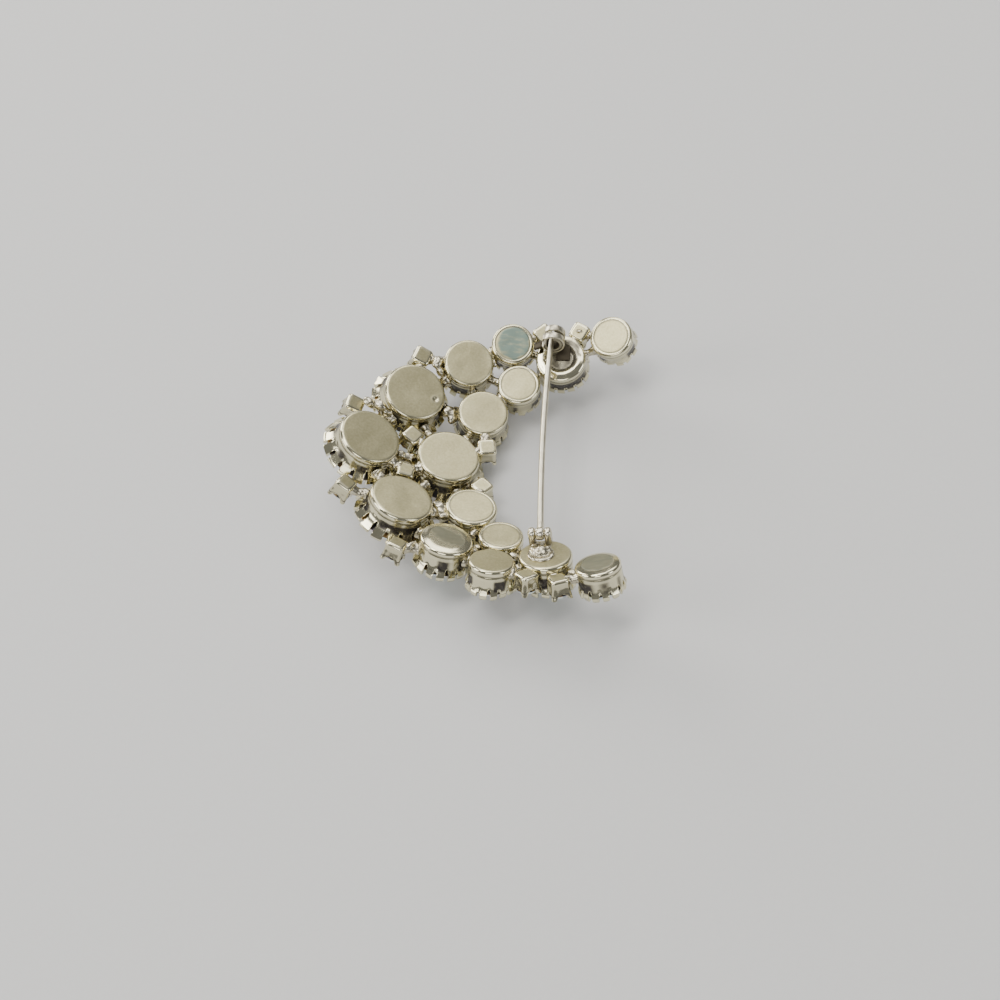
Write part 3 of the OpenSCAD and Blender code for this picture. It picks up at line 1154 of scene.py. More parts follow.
    def finish(
        self,
        name: str,
        place: Matrix,
        material: Material,
        smooth: float,
        body: str = "brooch",
        slot: str = "plated_metal",
    ) -> Object:
        """Turns the bmesh into an object in its place.

        Args:
            name: the object's name.
            place: matrix on the drawing, in millimetres.
            material: its finish.
            smooth: edges sharper than this angle in degrees stay crisp.
            body: CAD body that the piece rides on.
            slot: not used.

        Returns:
            The new object.
        """
        self.move(self.bm.verts, Matrix.Scale(MM, 4) @ rest_matrix() @ place)
        limit = math.radians(smooth)
        for face in self.bm.faces:
            face.smooth = True
        for edge in self.bm.edges:
            edge.smooth = not (len(edge.link_faces) == 2 and edge.calc_face_angle(0.0) > limit)
        piece = put_mesh(name, self.bm, material)
        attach(piece, body)
        LOG.info("%s: %d faces on %s", name, len(piece.data.polygons), body)
        return piece


# Pieces


@dataclass
class RoundCup(Workpiece):
    """A round claw cup: back, rolled edge, neck and flared claws.

    longer, lean and twist are the limits between which its claws differ in
    length, in lean and from one side to the other. notches are the depths
    that a notch may have more or less, and swell is a dished back's rise, from
    the dish's edge outwards.
    """

    number: int
    cup: Cup
    columns_per_claw: int = 12
    slot_share: float = 0.62
    longer: tuple[float, float] = (-0.22, 0.05)
    lean: tuple[float, float] = (-0.20, 0.06)
    twist: tuple[float, float] = (-0.20, 0.20)
    notches: tuple[float, ...] = (-0.45, -0.1, 0.0, 0.1)
    dish_in: float = 1.95
    dish_z: float = -0.24
    ring_in: float = 0.72
    wall_from: float = 1.8
    row_step: float = 0.19
    swell: tuple[tuple[float, float], ...] = (
        (0, -0.22),
        (0.15, -0.13),
        (0.32, -0.04),
        (0.55, 0.03),
        (0.8, 0.06),
        (1.1, 0.05),
        (1.4, 0.0),
    )

    @property
    def size(self) -> CupSize:
        """Sizes of this cup's kind."""
        return self.cup.kind.value

    def back_rows(self) -> list[Row]:
        """Draws the back, from its middle to its rolled edge.

        Returns:
            The half section's points.
        """
        flat, shine = self.size.flat, self.cup.finish.value.middle
        if self.cup.finish is BackFinish.DISHED:
            dish = self.size.back - self.dish_in
            rows = [Row(dish * part, self.dish_z, shine) for part in (0, 0.2, 0.4, 0.6, 0.75, 0.88)]
            outs = [0.1 * step for step in range(14)]
            return rows + [Row(dish + out, line_through(self.swell, out), 1.0) for out in outs]
        if self.cup.finish is BackFinish.MIRROR:
            rows = [Row(flat * part, 0, shine) for part in (0, 0.15, 0.3, 0.45, 0.6, 0.7, 0.76)]
            slope = ((0.82, -0.014), (0.88, -0.042), (0.94, -0.08))
            return rows + [Row(flat * part, z, 0.8) for part, z in slope]
        count = 26 if self.cup.dent else 9
        rows = [Row(flat * 0.87 * part / count, 0, shine) for part in range(count + 1)]
        if self.cup.finish is BackFinish.SATIN:
            return rows + [Row(flat * 0.93, 0, shine), Row(flat * 0.97, 0, shine)]
        ring = self.size.back - self.ring_in
        return rows[:-1] + [
            Row(ring - 0.12, 0, shine),
            # Painted shade in the ring's groove.
            Row(ring, -0.01, shine, 0.15),
            Row(ring + 0.05, -0.045, 0.2, 0.4),
            Row(ring + 0.11, -0.04, 0.4, 0.2),
            Row(ring + 0.17, 0.0, 0.6),
        ]

    def wall_rows(self) -> list[Row]:
        """Draws the rolled edge, the neck and the wall down to the claws' ends, with painted shade
        in the neck and painted dark reflections on the wall.

        Returns:
            The half section's points.
        """
        c, polish = self.size, self.cup.finish.value
        roll, drop = polish.roll, polish.drop
        rows = [Row(c.flat, -drop, roll)]
        for turn in (12, 24, 36, 48, 60, 75, 90):
            a = math.radians(turn)
            shine = roll + (1.0 - roll) * min(1.0, turn / 60)
            z = c.edge * (math.cos(a) - 1) - drop
            rows.append(Row(c.flat + c.edge * math.sin(a), z, shine))
        for depth in (0.8, 0.88, 0.95, 1.0, 1.05, 1.12, 1.2, 1.35, 1.6):
            neck = max(0.0, 1 - abs(depth - NECK_DEPTH) / 0.2)
            # Painted shade in the neck line and below it.
            grime_and_shade = 0.75 * neck + 0.25 * (depth > 1.1)
            rows.append(Row(c.outer(depth), -depth, 0.9 - 0.4 * neck, grime_and_shade))
        span = c.rim_z - 0.1 - self.wall_from
        count = round(span / self.row_step)
        for step in range(count + 1):
            depth = self.wall_from + span * step / count
            # Painted dark reflection on the wall above the notches; the claws stay bright.
            unshaded = blend(c.notch_z - 0.1, c.notch_z + 0.3, depth)
            grime_and_shade = (0.6 + 0.4 * blend(1.5, 1.9, depth)) * (1 - unshaded)
            rows.append(Row(c.outer(depth), -depth, 0.9, grime_and_shade))
        low = (c.rim_z + c.tip_z) / 2
        return rows + [
            Row(c.rim, -c.rim_z, 1.0),
            Row(c.outer(c.rim_z + 0.1), -c.rim_z - 0.1, 1.0),
            Row(c.outer(low + 0.05), -low - 0.05, 1.0),
            Row(c.tip + 0.03, -c.tip_z + 0.03, 1.0),
            Row(c.tip - 0.1, -c.tip_z - 0.02, 1.0),
            Row(c.tip - 0.27, -c.tip_z + 0.02, 1.0),
        ]

    def inside_rows(self) -> list[Row]:
        """Draws the inside, from the claws' ends to the middle of the back plate.

        Returns:
            The half section's points.
        """
        c = self.size
        depths = [c.tip_z - 0.1, c.rim_z + 0.15, c.rim_z, c.rim_z - 0.3]
        depths += [c.waist_z + 0.3, c.waist_z - 0.15, self.wall_from]
        # Painted shade: the inside is darkened.
        rows = [Row(c.inner(depth), -depth, 0.4, 1.0) for depth in depths]
        ends = ((c.back - NECK_IN - WALL, -NECK_DEPTH), (c.flat, -BACK_T), (0, -BACK_T))
        return rows + [Row(r, z, 0.3, 1.0) for r, z in ends]

    def claw_edge(self) -> float:
        """Share of half a claw's pitch that the claw itself takes up."""
        c = self.size
        return 1 - (self.slot_share * c.notch_w / 2) / (math.pi * c.tip / c.claws)

    def column_turn(self, share: float) -> float:
        """Moves evenly spaced columns so that one falls on the claw's edge.

        Args:
            share: where a column is, from 0 at a claw's middle to 1 in the notch.

        Returns:
            Where it goes.
        """
        edge = self.claw_edge()
        places = (0, 0.4 * edge, 0.78 * edge, 0.99 * edge, edge + 0.035, (1 + edge) / 2, 1)
        return line_through([(part / 6, place) for part, place in enumerate(places)], share)

    def claw_end(self, share: float, longer: float, lower: float) -> float:
        """Finds the depth that the metal reaches.

        Args:
            share: share of half a claw's pitch.
            longer: how much longer the claw is.
            lower: how much lower the notch is.

        Returns:
            The depth below the back.
        """
        c, edge = self.size, self.claw_edge()
        if share <= edge:
            return c.tip_z + longer - 0.16 * (share / edge) ** 6
        fall = (share - edge) / (1 - edge)
        return c.notch_z + lower * blend(0.0, 0.3, fall) + 0.3 * (1 - fall) ** 2

    def carve(self) -> None:
        """Cuts the notches between the claws and shapes each claw."""
        c = self.size
        hand = random.Random(100 + self.number)
        inside = {vert for vert in self.bm.verts if self.is_inner(vert)}
        start = c.notch_z - 0.6
        spreads = (self.longer, self.lean, self.twist)
        longer, lean, twist = ([hand.uniform(*ends) for _ in range(c.claws)] for ends in spreads)
        notch = [hand.choice(self.notches) for _ in range(c.claws)]
        pitch = math.tau / c.claws
        for vert in self.bm.verts:
            r = math.hypot(vert.co.x, vert.co.y)
            if r < TINY:
                continue
            turn = math.atan2(vert.co.y, vert.co.x) / pitch
            claw = round(turn)
            side = turn - claw
            share = self.column_turn(min(1.0, abs(side) * 2))
            angle = (claw + math.copysign(share / 2, side)) * pitch
            depth = -vert.co.z
            if depth > start:
                number = claw % c.claws
                gap = number if side > 0 else (claw - 1) % c.claws
                reach = self.claw_end(share, longer[number], notch[gap])
                scaled = start + (depth - start) * (reach - start) / (c.tip_z - start)
                profile = c.inner if vert in inside else c.outer
                r += profile(min(scaled, c.tip_z)) - profile(min(depth, c.tip_z))
                grow = blend(start, c.rim_z, scaled)
                flat = math.cos(0.5 * pitch / 2) / math.cos(share * pitch / 2)
                r *= 1 + (flat - 1) * grow
                r += grow * (lean[number] + twist[number] * math.copysign(share, side))
                # Painted shade at the claws' sides, towards the notches.
                vert[self.grime_and_shade] = max(vert[self.grime_and_shade], 0.7 * blend(0.8, 1.0, share))
                vert.co.z = -scaled
            elif depth > 1.7:
                r += 0.045 * math.cos(math.pi * share) * blend(1.7, start, depth)
            vert.co.x, vert.co.y = r * math.cos(angle), r * math.sin(angle)

    def is_inner(self, vert: Vert) -> bool:
        """Tells whether a vertex is on the inner side of the wall.

        Args:
            vert: the vertex.

        Returns:
            True if it is.
        """
        depth = -vert.co.z
        middle = (self.size.outer(depth) + self.size.inner(depth)) / 2
        return depth > NECK_DEPTH - 0.01 and math.hypot(vert.co.x, vert.co.y) < middle

    def wobble(self) -> None:
        """Gives the pressed sheet its unevenness, and breaks the walls' painted dark reflection
        into upright bands.
        """
        dish = Wobble(2.6, 0.035, 3.1 * self.number)
        ripple = Wobble(1.1, 0.012, 1.7 * self.number)
        back = self.size.back
        for vert in self.bm.verts:
            lift = dish.at(vert.co) + ripple.at(vert.co)
            r = math.hypot(vert.co.x, vert.co.y)
            if 1.1 < -vert.co.z < self.size.notch_z and not self.is_inner(vert):
                way = Vector((vert.co.x / r * 1.5, vert.co.y / r * 1.5, 7.3 * self.number))
                # Painted dark reflection, left only in upright bands.
                vert[self.grime_and_shade] *= 0.08 + 0.92 * blend(-0.06, 0.14, noise.noise(way))
            if -vert.co.z < 0.2:
                vert.co.z += lift * blend(back, back * 0.7, r) if r > 0 else lift
            elif r > 0:
                vert.co.x += vert.co.x / r * lift
                vert.co.y += vert.co.y / r * lift

    def press(self) -> None:
        """Presses the dent, the pits and the dish's lumps, darkens the pits, and lays the patch,
        which is a real stain on cup 3 and painted shade and painted dark reflection on cups 2, 12
        and 16.
        """
        lumps = Wobble(1.5, 0.07, 8.0)
        for vert in self.bm.verts:
            if vert.co.z < -0.3:
                continue
            x, y = vert.co.x, vert.co.y
            if self.cup.dent:
                at_x, at_y, size = self.cup.dent
                away = math.hypot(x - at_x, y - at_y)
                vert.co.z -= 0.11 * math.exp(-((away / size) ** 2))
                vert.co.z += 0.07 * math.exp(-(((away - 1.2 * size) / (0.45 * size)) ** 2))
                shine = 0.6 * math.exp(-((away / (1.5 * size)) ** 4))
                vert[self.shine] = max(vert[self.shine], shine)
            for at_x, at_y in self.cup.pits:
                pit = math.exp(-((math.hypot(x - at_x, y - at_y) / 0.16) ** 2))
                vert.co.z -= 0.12 * pit
                # Darker in the pits.
                vert[self.grime_and_shade] = max(vert[self.grime_and_shade], pit)
            if self.cup.stain_and_shade_patch:
                # The patch's darkening is painted shade and painted dark reflection on cups 2, 12
                # and 16; its stain on cup 3 is real.
                cover = self.cup.stain_and_shade_patch.cover(vert.co, self.size.back)
                vert[self.stain_and_reflection] = self.cup.stain_and_shade_patch.stain_and_reflection * cover
                vert[self.grime_and_shade] = max(vert[self.grime_and_shade], self.cup.stain_and_shade_patch.grime_and_shade * cover)
            if self.cup.finish is BackFinish.DISHED:
                vert.co.z += lumps.at(vert.co)

    def build(self) -> Object:
        """Builds the cup and puts it on the dome.

        Returns:
            The new object.
        """
        rows = self.back_rows() + self.wall_rows() + self.inside_rows()
        self.lathe(rows, self.size.claws * self.columns_per_claw)
        self.carve()
        self.wobble()
        self.press()
        name = f"round_cup_{self.number:02d}"
        return self.finish(name, self.cup.seat.matrix(), self.rack.plated, 60)


@dataclass
class SquareSetting(Workpiece):
    """A square claw setting: solid back, four claws and an arch in each side.

    back and front are half widths, arch_from is the depth below which the
    arches are cut, and roll is the radius of the rolled edge.
    """

    number: int
    seat: Seat
    back: float = 1.40
    front: float = 1.62
    height: float = 3.0
    arch: float = 1.12
    arch_from: float = 1.85
    roll: float = 0.42
    columns: int = 64

    def side(self, depth: float) -> float:
        """Half width of the outside at a depth."""
        points = ((0.0, self.back), (1.2, self.back - 0.02), (2.2, self.back + 0.08))
        return line_through((*points, (self.height, self.front)), depth)

    def rows(self) -> list[Row]:
        """Draws the setting before it is squared.

        Returns:
            The half section's points.
        """
        flat, low = self.back - self.roll, -self.height
        rows = [Row(0, 0), Row(flat * 0.5, 0), Row(flat * 0.85, 0, 0.05), Row(flat, 0, 0.5)]
        for turn in (15, 30, 45, 60, 75, 90):
            a = math.radians(turn)
            rows.append(Row(flat + self.roll * math.sin(a), self.roll * (math.cos(a) - 1), 1.0))
        depth = 0.6
        while depth < self.height - 0.1:
            # Sides darkened a little: painted shade.
            rows.append(Row(self.side(depth), -depth, 0.9, 0.22))
            depth += 0.17
        claw = ((self.front - 0.01, low + 0.07), (self.front - 0.08, low), (1.40, low + 0.02))
        rows += [Row(r, z, 1.0) for r, z in claw]
        # Painted shade under the claws and inside.
        rows += [Row(1.38, -2.75, 0.5, 0.5), Row(1.52, -2.7, 0.3, 0.8)]
        inside = ((1.52, -2.3), (0.9, -1.75), (0.3, -1.0), (0, -0.95))
        return rows + [Row(r, z, 0.3, 1.0) for r, z in inside]

    def square(self) -> None:
        """Squares the turned shape and opens the arches."""
        start = self.arch_from
        uneven = Wobble(1.2, 0.05, 5.3 * self.number)
        for vert in self.bm.verts:
            r, depth = math.hypot(vert.co.x, vert.co.y), -vert.co.z
            if r < TINY:
                continue
            c, s = abs(vert.co.x / r), abs(vert.co.y / r)
            corner = 1 / (c**6 + s**6) ** (1 / 6)
            inside = depth > 0.9 and r < self.side(depth) - 0.12
            grow = 1.0 if inside else corner
            if not inside:
                grow -= 0.07 * blend(0.3, 1.3, depth) * (1 - blend(1.0, 1.2, corner))
            across = self.side(depth) * min(c, s) / max(c, s)
            reach = self.height
            if across < self.arch:
                reach = self.height + 0.2 - math.sqrt(self.arch**2 - across**2)
            if depth > start and not (inside and r < 1.3):
                scaled = start + (depth - start) * (reach - start) / (self.height - start)
                if not inside:
                    grow *= self.side(scaled) / self.side(depth)
                vert.co.z = -scaled
            grow += uneven.at(vert.co)
            vert.co.x *= grow
            vert.co.y *= grow

    def build(self) -> Object:
        """Builds the setting and puts it on the dome.

        Returns:
            The new object.
        """
        self.lathe(self.rows(), self.columns)
        self.square()
        name = f"square_setting_{self.number:02d}"
        return self.finish(name, self.seat.matrix(), self.rack.plated, 50)


@dataclass
class SolderWork(Workpiece):
    """All solder: runs between cups, ties to the square settings and drops.

    longest is the widest gap that gets drops. masses are larger drops: x and y
    on the dome, depth below it and radius.
    """

    seed: int = 7
    voxel: float = 0.12
    passes: int = 8
    longest: float = 2.4
    masses: tuple[tuple[float, float, float, float], ...] = (
        (-9.3, 16.5, 1.5, 0.95),
        (-8.7, 15.4, 1.8, 0.80),
        (-18.5, 6.9, 1.6, 0.95),
        (-17.0, 6.9, 1.5, 1.05),
        (-15.8, 6.3, 1.7, 0.80),
        (-6.8, 9.0, 1.5, 0.95),
        (-6.0, 8.1, 1.8, 0.80),
        (-1.4, 19.7, 1.5, 0.85),
        (-0.9, 18.2, 1.8, 0.70),
        (0.8, 12.7, 1.3, 0.85),
        (-6.3, -9.0, 1.4, 1.00),
        (-5.6, -10.6, 1.6, 0.90),
        (-0.4, -11.8, 1.4, 0.95),
        (-0.9, -12.9, 1.7, 0.80),
        (-1.6, -18.1, 1.5, 0.90),
        (-0.6, -17.2, 1.8, 0.80),
        (5.2, -15.9, 1.4, 0.90),
        (4.7, -17.2, 1.7, 0.85),
        (11.5, 23.1, 1.25, 0.55),
    )

    def run(self, start: Vector, stop: Vector, side: Vector, radius: float, seed: float) -> None:
        """Adds a lumpy run with flared ends.

        Args:
            start: where it starts.
            stop: where it ends.
            side: a direction across it, from which its columns are counted.
            radius: its thinnest radius.
            seed: seed of its lumps.
        """
        along = stop - start
        length = along.length
        count = max(6, int(length / 0.25))
        rows = [Row(0, 0, 1.0)]
        for step in range(count + 1):
            t = step / count
            flare = 1.0 + 0.6 * abs(2 * t - 1) ** 2.2
            # Painted shade: darker towards the ends, where the run meets the walls.
            rows.append(Row(radius * flare, length * t, 1.0, 0.35 * abs(2 * t - 1)))
        verts = self.lathe([*rows, Row(0, length, 1.0)], 20)
        ez = along.normalized()
        ex = (side - side.dot(ez) * ez).normalized()
        lumps = Wobble(0.75, 0.16, seed)
        for vert in verts:
            r = math.hypot(vert.co.x, vert.co.y)
            if r > 0:
                push = 1 + lumps.at(vert.co) / r
                vert.co.x *= push
                vert.co.y *= push
        self.move(verts, axes_matrix(start, ex, ez.cross(ex), ez))

    def drop(self, where: Vector, radius: float, seed: float) -> None:
        """Adds one lumpy, lopsided drop.

        Args:
            where: its middle.
            radius: its size before it is squeezed.
            seed: seed of its lumps and of the way it lies.
        """
        verts = self.ball(radius)
        lumps, small = Wobble(0.7, 0.24, seed), Wobble(0.35, 0.05, seed + 5)
        for vert in verts:
            vert.co *= 1 + (lumps.at(vert.co) + small.at(vert.co)) / radius
        self.mark(verts, 1.0, 0.1)
        lie = Matrix.Rotation(1.7 * seed, 4, "Z") @ Matrix.Rotation(0.5 * math.sin(seed), 4, "X")
        self.move(verts, Matrix.Translation(where) @ lie @ Matrix.Diagonal((1.3, 0.9, 0.8, 1.0)))

    def ends(
        self, pair: tuple[int, int], depth: float, up: float, sink: float
    ) -> tuple[Vector, Vector]:
        """Finds where solder leaves one cup's wall and meets another's.

        Args:
            pair: both cups, counted from 1.
            depth: depth below the backs at which the walls are measured.
            up: how much nearer to the backs the ends lie.
            sink: how deep they lie inside the walls.

        Returns:
            Both ends.
        """
        a, b = (CUPS[number - 1] for number in pair)
        p, q = a.seat.point(depth - up), b.seat.point(depth - up)
        way = (q - p).normalized()
        start = p + way * (a.kind.value.wall(depth) - sink)
        return start, q - way * (b.kind.value.wall(depth) - sink)

    def level(self, seat: Seat, cup: Cup) -> float:
        """Depth on a cup's wall that lies level with a square setting."""
        return max(0.7, (cup.seat.centre() - seat.point(0.7)).dot(cup.seat.normal()))

    def runs(self) -> None:
        """Adds the runs between cups, and from square settings to cups."""
        for number, (first, second, depth, radius) in enumerate(BARS):
            start, stop = self.ends((first, second), depth, 0.0, 0.2)
            self.run(start, stop, CUPS[first - 1].seat.normal(), radius, 2.3 * number)
        for number, (square, of_cup, radius) in enumerate(TIES):
            seat, cup = SQUARES[square - 1], CUPS[of_cup - 1]
            depth = max(1.15, self.level(seat, cup))
            p, q = seat.point(1.15), cup.seat.point(depth)
            way = (q - p).normalized()
            stop = q - way * (cup.kind.value.wall(depth) - 0.12)
            seed = 40 + 1.9 * number
            self.run(p + way * 1.1, stop, cup.seat.normal(), radius * 1.15, seed)

    def drops(self) -> None:
        """Adds rounded drops where walls come near each other, and the masses."""
        hand = random.Random(self.seed)
        for number, (first, second, depth, radius) in enumerate(BARS):
            start, stop = self.ends((first, second), depth, 0.5, 0.0)
            if (stop - start).length > self.longest:
                continue
            out = CUPS[first - 1].seat.normal()
            for lump in range(3):
                where = start.lerp(stop, hand.uniform(0.1, 0.9)) + out * hand.uniform(-0.5, 0.35)
                self.drop(where, radius * hand.uniform(0.6, 1.0), 90 + 3 * number + lump)
        for number, (square, of_cup, _) in enumerate(TIES):
            seat, cup = SQUARES[square - 1], CUPS[of_cup - 1]
            p, level, out = seat.point(0.9), self.level(seat, cup), cup.seat.normal()
            way = (cup.seat.point(max(1.2, level)) - p).normalized()
            reach = (cup.seat.point(level) - p).length - cup.kind.value.back
            for lump in range(3):
                where = p + way * (1.2 + (reach - 1.2) * hand.uniform(0.0, 1.0))
                where = where + out * hand.uniform(-0.3, 0.3)
                self.drop(where, hand.uniform(0.5, 0.8), 200 + 3 * number + lump)
        for number, (x, y, depth, radius) in enumerate(self.masses):
            self.drop(Seat(x, y, depth).point(0.0), radius, 400 + 2.1 * number)

    def build(self) -> Object:
        """Builds all solder as one piece.

        Returns:
            The new object.
        """
        self.runs()
        self.drops()
        self.fuse(self.voxel, self.passes)
        return self.finish("solder", Matrix.Identity(4), self.rack.solder, 80)


@dataclass
class JointEars(Workpiece):
    """The two ears of the pin's joint, round at their tops, and its rivet."""

    gap: float = 0.06
    thick: float = 1.0
    wide: float = 1.8
    foot: float = 2.5
    rivet_r: float = 0.36

    def ear(self, side: int) -> None:
        """Adds one ear.

        Args:
            side: -1 or 1 along the rivet.
        """
        height = LOOP_R + self.foot
        part = self.block((self.thick, self.wide, height), (0, 0, LOOP_R - height / 2))
        top = [
            edge
            for edge in {edge for vert in part for edge in vert.link_edges}
            if all(vert.co.z > 0.5 for vert in edge.verts)
            and abs(edge.verts[0].co.y - edge.verts[1].co.y) < TINY
        ]
        part = self.soften(self.bevel(part, top, 0.88, 8), 0.42, 6)
        self.mark(part, 1.0)
        for vert in part:
            # Darker towards the ears' feet.
            vert[self.grime_and_shade] = 0.6 * blend(-0.9, -1.8, vert.co.z)
        self.shift(part, (side * (LOOP_W / 2 + self.gap + self.thick / 2), 0, 0))

    def rivet(self) -> None:
        """Adds the rivet with its two low heads."""
        end = LOOP_W / 2 + self.gap + self.thick
        head = ((0, 0.13), (0.25, 0.1), (0.42, 0.02), (0.45, -0.1), (self.rivet_r, -0.15))
        rows = [Row(r, -end - out, 1) for r, out in head]
        rows += [Row(r, end + out, 1) for r, out in reversed(head)]
        self.move(self.lathe(rows, 24), turned(90, "Y"))

    def build(self) -> Object:
        """Builds the ears with the rivet.

        Returns:
            The new object.
        """
        self.ear(-1)
        self.ear(1)
        self.rivet()
        return self.finish("joint_ears", joint_matrix(), self.rack.pin, 50)


@dataclass
class JointBase(Workpiece):
    """Disc, strip and solder that hold the pin's joint on its cup.

    disc is the disc's half section, and lumps are drops: x, y and radius.
    """

    voxel: float = 0.07
    passes: int = 14
    disc: tuple[Row, ...] = (
        Row(0, 0.30, 1),
        Row(0.9, 0.31, 1),
        Row(1.4, 0.35, 1),
        Row(1.72, 0.38, 1),
        Row(1.92, 0.30, 1),
        # Painted shade on the disc's lower edge and underside.
        Row(2.02, 0.14, 1, 0.1),
        Row(2.04, 0.0, 1, 0.8),
        Row(1.8, -0.2, 1, 1),
        Row(0, -0.2, 1, 1),
    )
    lumps: tuple[tuple[float, float, float], ...] = (
        (-1.35, 0.25, 0.72),
        (-0.55, 0.5, 0.95),
        (0.15, 0.75, 0.75),
        (-0.8, -0.45, 0.62),
        (-1.75, 0.75, 0.55),
        (-0.2, -0.35, 0.5),
        (-0.95, 1.25, 0.72),
        (-1.6, 1.45, 0.6),
        (-0.25, 1.5, 0.62),
        (-0.9, 2.1, 0.5),
    )

    def build(self) -> Object:
        """Builds the base as one piece.

        Returns:
            The new object.
        """
        disc = self.lathe(self.disc, 72)
        uneven = Wobble(0.8, 0.10, 12.0)
        for vert in disc:
            if vert.co.z > 0.05:
                vert.co.z += max(-0.1, uneven.at(vert.co))
        self.shift(disc, (-0.65, -0.15, 0))
        strip = self.soften(self.block((3.3, 2.7, 0.45), (-0.85, 1.95, 0.025)), 0.12, 3)
        self.mark(strip, 1.0, 0.2)
        flat = Matrix.Diagonal((1.0, 1.0, 0.8, 1.0))
        for number, (x, y, radius) in enumerate(self.lumps):
            verts = self.ball(radius)
            bumps = Wobble(0.7, 0.10, 20.0 + number)
            for vert in verts:
                vert.co *= 1 + bumps.at(vert.co)
            self.mark(verts, 1.0)
            self.move(verts, Matrix.Translation((x, y, 0.35)) @ flat)
        self.fuse(self.voxel, self.passes)
        return self.finish("joint_base", JOINT_CUP.seat.matrix(), self.rack.solder, 80)


@dataclass
class CatchPart(Workpiece):
    """What both parts of the roll-over catch share; angles are as in sector."""

    bore: float = 1.45
    length: float = 2.7
    slot_w: float = 0.46
    steps: int = 60


@dataclass
class CatchBarrel(CatchPart):
    """The catch's fixed part: two bands, the bridge between them and the foot."""

    outer: float = 1.8
    mouth: tuple[float, float] = (148.0, 200.0)
    slot: tuple[float, float] = (-15.0, 236.0)

    def build(self) -> Object:
        """Builds the barrel and its foot, with a plate flat on the cup's back, darkened with
        painted shadow under the barrel.

        Returns:
            The new object.
        """
        band = (self.length - self.slot_w) / 2
        for side in (-1, 1):
            part = self.sector(self.outer, self.bore, self.mouth, band, self.steps)
            part = self.soften(part, 0.1, 3)
            # Painted shade on the bands, and in their bore.
            self.mark(part, 1.0, 0.2)
            self.shade_bore(part, self.bore + 0.08)
            self.shift(part, (0, side * (self.slot_w + band) / 2, 0))
        bridge = self.sector(self.outer - 0.03, self.bore + 0.03, self.slot, 1.0, 24)
        # Painted shade on the bridge.
        self.mark(bridge, 1.0, 0.5)
        foot = self.soften(self.block((1.8, 2.2, 1.3), (0, 0, -2.25)), 0.2, 3)
        # Painted shade on the foot.
        self.mark(foot, 1.0, 0.7)
        plate = self.soften(self.block((2.2, 2.3, 0.42)), 0.12, 3)
        # Painted shadow: the plate lies under the barrel.
        self.mark(plate, 0.6, 1.1)
        on_cup = CATCH_CUP.seat.matrix() @ Matrix.Translation((0.35, 0.8, -0.16))
        self.move(plate, Matrix.Translation(-BARREL_AT) @ on_cup)
        return self.finish("catch_barrel", Matrix.Translation(BARREL_AT), self.rack.pin, 40)


@dataclass
class CatchRoller(CatchPart):
    """The catch's rolling sleeve and the lever that turns it: stem and blade."""

    outer: float = 1.40
    inner: float = 0.95
    gap: tuple[float, float] = (94.0, 182.0)
    lever_turn: float = 217.0
    lever_t: float = 0.5
    reach: float = 3.45
    blade_from: float = 2.0
    blade_w: float = 1.35

    def build(self) -> Object:
        """Builds the sleeve and its lever.

        Returns:
            The new object.
        """
        part = self.sector(self.outer, self.inner, self.gap, self.length, self.steps)
        part = self.soften(part, 0.08, 3)
        # Painted shade on the sleeve and in its bore.
        self.mark(part, 1.0, 0.6)
        self.shade_bore(part, self.inner + 0.06)
        reach, start = self.reach, self.blade_from
        stem = (reach - self.bore + 0.1, self.slot_w - 0.12, self.lever_t)
        blade = (reach - start, self.blade_w, self.lever_t)
        lever = self.soften(self.block(stem, ((reach + self.bore) / 2 - 0.2, 0, 0)), 0.08, 2)
        lever += self.soften(self.block(blade, ((reach + start) / 2, -0.35, 0)), 0.22, 4)
        # Painted shade: the lever is darkened.
        self.mark(lever, 0.9, 1.1)
        self.move(lever, turned(-self.lever_turn, "Y"))
        at = Matrix.Translation(BARREL_AT)
        return self.finish("catch_roller", at, self.rack.pin, 40, "sleeve", "pin_metal")


